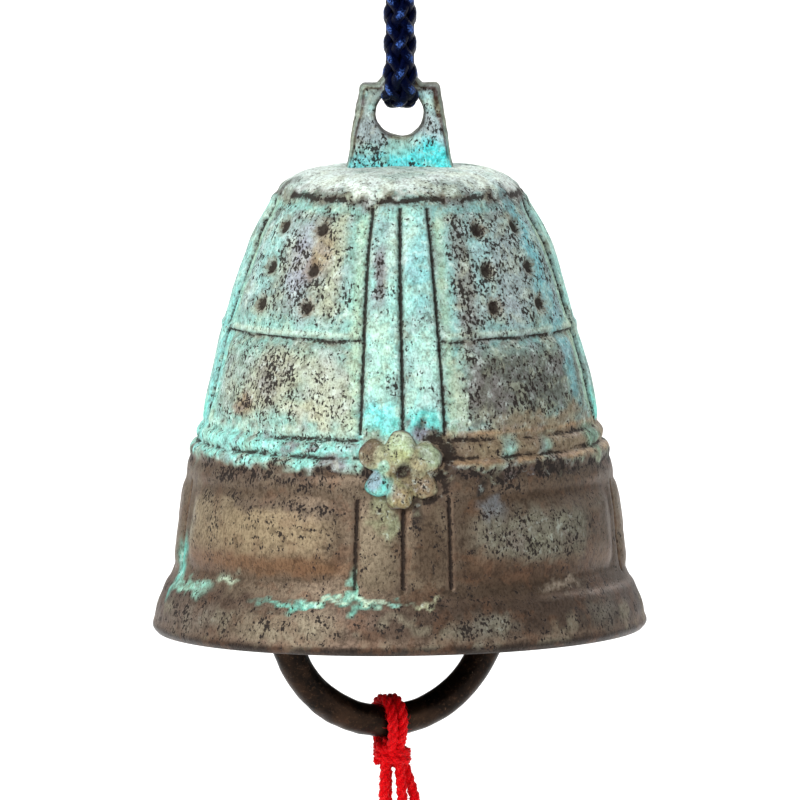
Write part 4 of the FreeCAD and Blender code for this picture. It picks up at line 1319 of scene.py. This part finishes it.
def braid(strands, line, radius, wide=(1.0, 0.0, 0.0), squeeze=None, start=0.0):
    """Eight strands braided round a line, over one and under one. squeeze gives the section's width and thickness
    at each point, as shares of the round one."""
    line = evenly(line, 0.3)
    _, side, other = frames(line, wide)
    along = lengths_along(line)
    shares = squeeze(along) if squeeze else (np.ones_like(along), np.ones_like(along))
    turn = 2 * math.pi * along / LAY_LENGTH + start
    core = radius * 0.70
    for heading in (1, -1):
        for carrier in range(CARRIERS):
            angle = heading * turn + carrier * 2 * math.pi / CARRIERS
            reach = core + heading * radius * 0.15 * np.cos(CARRIERS * turn)
            points = (
                line
                + side * (np.cos(angle) * reach * shares[0])[:, None]
                + other * (np.sin(angle) * reach * shares[1])[:, None]
            )
            outward = side * np.cos(angle)[:, None] + other * np.sin(angle)[:, None]
            # shade: strength of the painted highlight on each strand's crown, strongest where it rides over the others.
            over = 0.5 + 0.5 * heading * np.cos(CARRIERS * turn)
            shade = over**3 * CHANCE.uniform(0.8, 1.0)
            strands.flat_tube(points, outward, radius * 0.38, radius * 0.29, shade)
    strands.tube(line, radius * 0.52 * np.minimum(shares[0], shares[1]), 10, shade=0.0)


def make_cord():
    line = above_lip(spline(CORD_ROUTE, 0.25 * MM))
    along = lengths_along(line)
    middle = along[-1] / 2

    def squeeze(places):
        pressed = smooth(7.5, 2.5, np.abs(places - middle))
        return 1 + 0.18 * pressed, 1 - 0.40 * pressed

    strands = Strands()
    braid(strands, line, CORD_DIAMETER / 2, squeeze=squeeze)
    cord = strands.object("hanging_cord_braid", NAVY_CORD)
    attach(cord, "hanger")
    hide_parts("hanging_cord")


def make_cord_knot():
    """Both legs tied together in an overhand knot, with their ends standing above it."""
    centre = np.array([0.0, 0.0, 98.2])
    tilt, end_length = math.radians(24), 8.0
    strands = Strands()
    ends = Strands()
    for side in (-1, 1):
        turns = np.linspace(0.12, 2 * math.pi - 0.12, 90)
        ring = 2.55 + 1.35 * np.cos(3 * turns)
        knot = np.stack(
            [ring * np.cos(2 * turns) - 1.6, 2.1 * np.sin(3 * turns), ring * np.sin(2 * turns) * 1.05], axis=1
        )
        knot = knot + centre + np.array([0.35 * side, 1.25 * side, 0.55 * side])
        below = np.array([[0, 1.9 * side, 93.3], [0.6, 1.7 * side, 94.6], [1.7, 1.5 * side, 96.2]])
        above = np.array([[1.9, 1.0 * side, 101.0], [1.2 + side, 0.6 * side, 103.2]])
        way = evenly(np.vstack([below, knot, above]), 0.3)
        braid(strands, smoothed(way, 6), CORD_DIAMETER / 2 * 0.92, start=side)
        foot = np.array([1.0 * side + 0.9, 0.5 * side, 102.6])
        across = 2.3 + end_length * math.sin(tilt)
        tip = np.array([across * side, 0.3 * side, 102.2 + end_length * math.cos(tilt)])
        bow = (foot + tip) / 2 + np.array([0.5 * side, 0.6 * side, 0.2])
        end_line = smoothed(evenly(np.vstack([foot, bow, tip]), 0.3), 8)
        braid(ends, end_line, CORD_DIAMETER / 2 * 0.95, start=side * 2)
        fray(ends, end_line[-1], unit(end_line[-1] - end_line[-4]), 60, 1.3)
    knot = strands.object("cord_knot_braid", NAVY_CORD)
    tips = ends.object("cord_ends_braid", NAVY_CORD)
    for piece, node in ((knot, "cord_knot"), (tips, "cord_ends")):
        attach(piece, "hanger")
        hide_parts(node)
    return knot


def smoothed(points, times):
    points = points.copy()
    for _ in range(times):
        points[1:-1] = (points[:-2] + 2 * points[1:-1] + points[2:]) / 4
    return points


def fray(strands, spot, heading, count, spread):
    """Short loose filaments at a cut end."""
    for _ in range(count):
        away = np.array([CHANCE.gauss(0, 1) for _ in range(3)])
        away = away - heading * np.dot(away, heading)
        away = away / np.linalg.norm(away) * spread * math.sqrt(CHANCE.random())
        length = CHANCE.uniform(0.6, 1.5)
        start = spot + away * 0.8 - heading * 0.6
        finish = spot + away * 1.15 + heading * length
        middle = (start + finish) / 2 + away * CHANCE.uniform(-0.1, 0.2)
        strands.tube([start, middle, finish], 0.09, 4, shade=CHANCE.random(), taper=0.5)


# ---------------------------------------------------------------- clapper string

YARN_DIAMETER = 1.3
PLIES = 3
TWIST_LENGTH = 3.4
# Four tails from the tie knot to the end knot: millimetres above the lip.
TAIL_ROUTES = [
    [(-1.75, -0.72, -16.0), (-2.0, -0.85, -21.4), (-2.3, -1.0, -29.5), (-1.8, -0.95, -38.5), (-0.95, -0.7, -46.6)],
    [(-1.6, 0.72, -16.0), (-1.55, 0.9, -21.8), (-1.9, 1.15, -30.3), (-1.6, 1.05, -39.0), (-0.95, 0.7, -46.6)],
    [(-0.2, -0.72, -16.0), (0.45, -0.75, -21.2), (0.25, -0.95, -29.0), (0.55, -1.0, -38.0), (0.42, -0.7, -46.6)],
    [(0.05, 0.72, -15.9), (2.0, 0.5, -20.6), (2.75, 0.6, -28.5), (1.9, 0.95, -38.2), (0.42, 0.7, -46.6)],
]


def yarn(strands, line, diameter=YARN_DIAMETER, start=0.0, fuzz=5.0):
    """Twisted plies along a line, with stray fibres; fuzz is fibres for each millimetre."""
    line = evenly(line, 0.18)
    tangents, side, other = frames(line)
    along = lengths_along(line)
    turn = 2 * math.pi * along / TWIST_LENGTH + start
    for ply in range(PLIES):
        angle = turn + ply * 2 * math.pi / PLIES
        outward = side * np.cos(angle)[:, None] + other * np.sin(angle)[:, None]
        points = line + outward * diameter * 0.235
        # Each ply's crown carries a painted highlight of random strength.
        strands.flat_tube(points, outward, diameter * 0.285, diameter * 0.255, CHANCE.uniform(0.2, 0.8), 9)
        for filament in range(5):
            finer = turn * -2.2 + filament * 2 * math.pi / 5 + ply
            ply_side = np.cross(tangents, outward)
            away = outward * np.cos(finer)[:, None] + ply_side * np.sin(finer)[:, None]
            strands.tube(points + away * diameter * 0.262, diameter * 0.055, 4, shade=CHANCE.random())
    for _ in range(int(along[-1] * fuzz)):
        spot = CHANCE.randrange(len(line))
        angle = CHANCE.uniform(0, 2 * math.pi)
        out = side[spot] * math.cos(angle) + other[spot] * math.sin(angle)
        reach = diameter * CHANCE.uniform(0.55, 1.15)
        drift = tangents[spot] * CHANCE.uniform(-0.9, 0.9)
        start_point = line[spot] + out * diameter * 0.35
        bend = line[spot] + out * reach * 0.9 + drift * 0.5
        tip = line[spot] + out * reach + drift + np.array([CHANCE.uniform(-0.2, 0.2), 0, CHANCE.uniform(-0.3, 0.1)])
        strands.tube(evenly([start_point, bend, tip], 0.2), 0.022, 3, shade=CHANCE.random(), taper=0.4)


def finish_string(piece, node):
    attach(piece, "string")
    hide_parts(node)
    return piece


def make_string_loop():
    """Two turns of yarn over the ring's lowest stretch, drawn together into the tie knot."""
    low = RING_HEIGHT - RING_RADIUS
    reach = RING_SECTION + YARN_DIAMETER / 2 + 0.12
    strands = Strands()
    for side in (-1, 1):
        shift = side * 0.68
        line = [beside(shift * 0.7 + 0.2, -0.9, low - 4.6), beside(shift * 0.85 + 0.1, -reach * 0.86, low - 1.9)]
        for step in range(13):
            angle = math.radians(180 - 180 * step / 12)
            line.append(beside(shift, reach * math.cos(angle), low + reach * math.sin(angle)))
        line += [beside(shift * 0.85 + 0.1, reach * 0.86, low - 1.9), beside(shift * 0.7 + 0.2, 0.9, low - 4.6)]
        yarn(strands, smoothed(evenly(line, 0.2), 5), start=side)
    finish_string(strands.object("string_loop_yarn", RED_YARN), "string_loop")


def make_string_knot():
    """The yarn wound round itself just under the ring."""
    strands = Strands()
    middle = np.array([-0.95, 0.0, -15.6])
    turns = np.linspace(-0.1, 2.15, 120)
    line = np.stack(
        [
            middle[0] + 1.72 * np.cos(2 * math.pi * turns + 2.4),
            1.45 * np.sin(2 * math.pi * turns + 2.4),
            middle[2] + 0.95 - 0.88 * turns + 0.25 * np.cos(2 * math.pi * turns),
        ],
        axis=1,
    )
    yarn(strands, line, fuzz=7.0)
    for side in (-1, 1):
        core = [(middle[0] + 0.6 * side, 0.35 * side, -13.6), (middle[0] + 0.55 * side, 0.3, -17.2)]
        yarn(strands, core, fuzz=1.0)
    finish_string(strands.object("string_knot_yarn", RED_YARN), "string_knot")


def make_end_knot():
    """The overhand knot that holds the four tails together."""
    strands = Strands()
    centre = np.array([-0.27, 0.0, -47.6])
    for layer in (0, 1):
        turns = np.linspace(0.15, 2 * math.pi - 0.15, 80)
        ring = 1.15 + 0.5 * np.cos(3 * turns)
        line = np.stack(
            [ring * np.cos(2 * turns) * 1.05, 0.95 * np.sin(3 * turns), ring * np.sin(2 * turns) * 0.9], axis=1
        )
        offset = np.array([0.15, 0.5, 0.35]) * (1 if layer else -1)
        yarn(strands, smoothed(evenly(line + centre + offset, 0.2), 3), fuzz=4.0, start=layer * 1.5)
    return finish_string(strands.object("string_end_knot_yarn", RED_YARN), "string_end_knot")


def make_tails():
    for number, route in enumerate(TAIL_ROUTES, start=1):
        line = above_lip(spline(row(route).tolist(), 0.2 * MM))
        strands = Strands()
        yarn(strands, line, start=number * 1.3, fuzz=8.0)
        tail = finish_string(strands.object(f"string_tail_{number}_yarn", RED_YARN), f"string_tail_{number}")


def make_tassel():
    """The yarns' free ends, their plies opening out below the end knot."""
    strands = Strands()
    for route in TAIL_ROUTES:
        x, y, _ = route[-1]
        for _ in range(PLIES * 3):
            angle = CHANCE.uniform(0, 2 * math.pi)
            spread = CHANCE.uniform(0.25, 0.95)
            length = CHANCE.uniform(4.9, 5.9)
            away = np.array([math.cos(angle), math.sin(angle), 0]) * spread
            start = np.array([x, y, -48.6])
            middle = start + away * 0.5 + np.array([0, 0, -length * 0.5])
            tip = start + away + np.array([0, 0, -length])
            strands.tube(smoothed(evenly([start, middle, tip], 0.25), 4), 0.2, 6, shade=CHANCE.random(), taper=0.35)
    finish_string(strands.object("string_ends_yarn", RED_YARN), "string_ends")


# ---------------------------------------------------------------- camera, light and floor

CAMERA_ELEVATION = math.radians(6.0)
CAMERA_DISTANCE = 2.0
SENSOR_WIDTH = 36.0
VIEW_WIDTH = 0.0978
VIEW_CENTRE = Vector((0.0, 0.0, -0.058))
FLOOR_HEIGHT = -0.21


def make_camera():
    camera = bpy.data.cameras.new("camera")
    camera.sensor_width = SENSOR_WIDTH
    camera.lens = SENSOR_WIDTH * CAMERA_DISTANCE / VIEW_WIDTH
    camera.clip_start = 0.01
    camera.clip_end = 50.0
    holder = bpy.data.objects.new("camera", camera)
    bpy.context.scene.collection.objects.link(holder)
    heading = Vector((0, -math.cos(CAMERA_ELEVATION), math.sin(CAMERA_ELEVATION)))
    holder.location = VIEW_CENTRE + heading * CAMERA_DISTANCE
    holder.rotation_euler = (math.pi / 2 - CAMERA_ELEVATION, 0, 0)
    bpy.context.scene.camera = holder


def add_light(name, spot, size, power, colour, aim=VIEW_CENTRE):
    """A round lamp that faces its aim."""
    light = bpy.data.lights.new(name, "AREA")
    light.shape = "DISK"
    light.size = size
    light.energy = power
    light.color = colour
    holder = bpy.data.objects.new(name, light)
    bpy.context.scene.collection.objects.link(holder)
    holder.location = spot
    holder.rotation_euler = (Vector(spot) - Vector(aim)).to_track_quat("Z", "Y").to_euler()


def make_studio():
    add_light("key", (-0.6, -0.75, 0.6), 0.5, 12.5, (1.0, 0.99, 0.97))
    add_light("fill", (0.9, -0.7, 0.1), 0.8, 1.6, (0.96, 0.98, 1.0))
    add_light("rim", (0.5, 0.7, 0.5), 0.5, 4.0, (1.0, 1.0, 1.0))
    add_light("backdrop", (0.0, 1.9, 1.3), 2.0, 34.0, (1.0, 1.0, 1.0), (0.0, 1.9, 0.0))
    world = bpy.data.worlds.new("studio")
    bpy.context.scene.world = world
    world.use_nodes = True
    shade = world.node_tree.nodes["Background"]
    shade.inputs["Color"].default_value = (1.0, 1.0, 1.0, 1.0)
    shade.inputs["Strength"].default_value = 0.55
    bpy.context.scene.view_settings.view_transform = "Standard"
    nodes = Nodes("floor")
    white = nodes.mix(nodes.noise(0.004, 2.0), linear(250, 250, 249), linear(254, 254, 253))
    nodes.surface(Base_Color=white, Roughness=0.8)
    bpy.ops.mesh.primitive_circle_add(vertices=96, radius=9.0, fill_type="NGON", location=(0, 0, FLOOR_HEIGHT))
    floor = bpy.context.object
    floor.name = "floor"
    floor.data.materials.append(nodes.material)


make_camera()
cord_knot = make_cord_knot()
make_cord()
make_string_knot()
end_knot = make_end_knot()
make_tails()
make_string_loop()
make_tassel()
make_bell()
make_lug()
make_blossom("bell_blossom_front", 1, 0.0)
make_blossom("bell_blossom_back", -1, 4.0)
make_staple()
make_link()
make_ring()
make_studio()
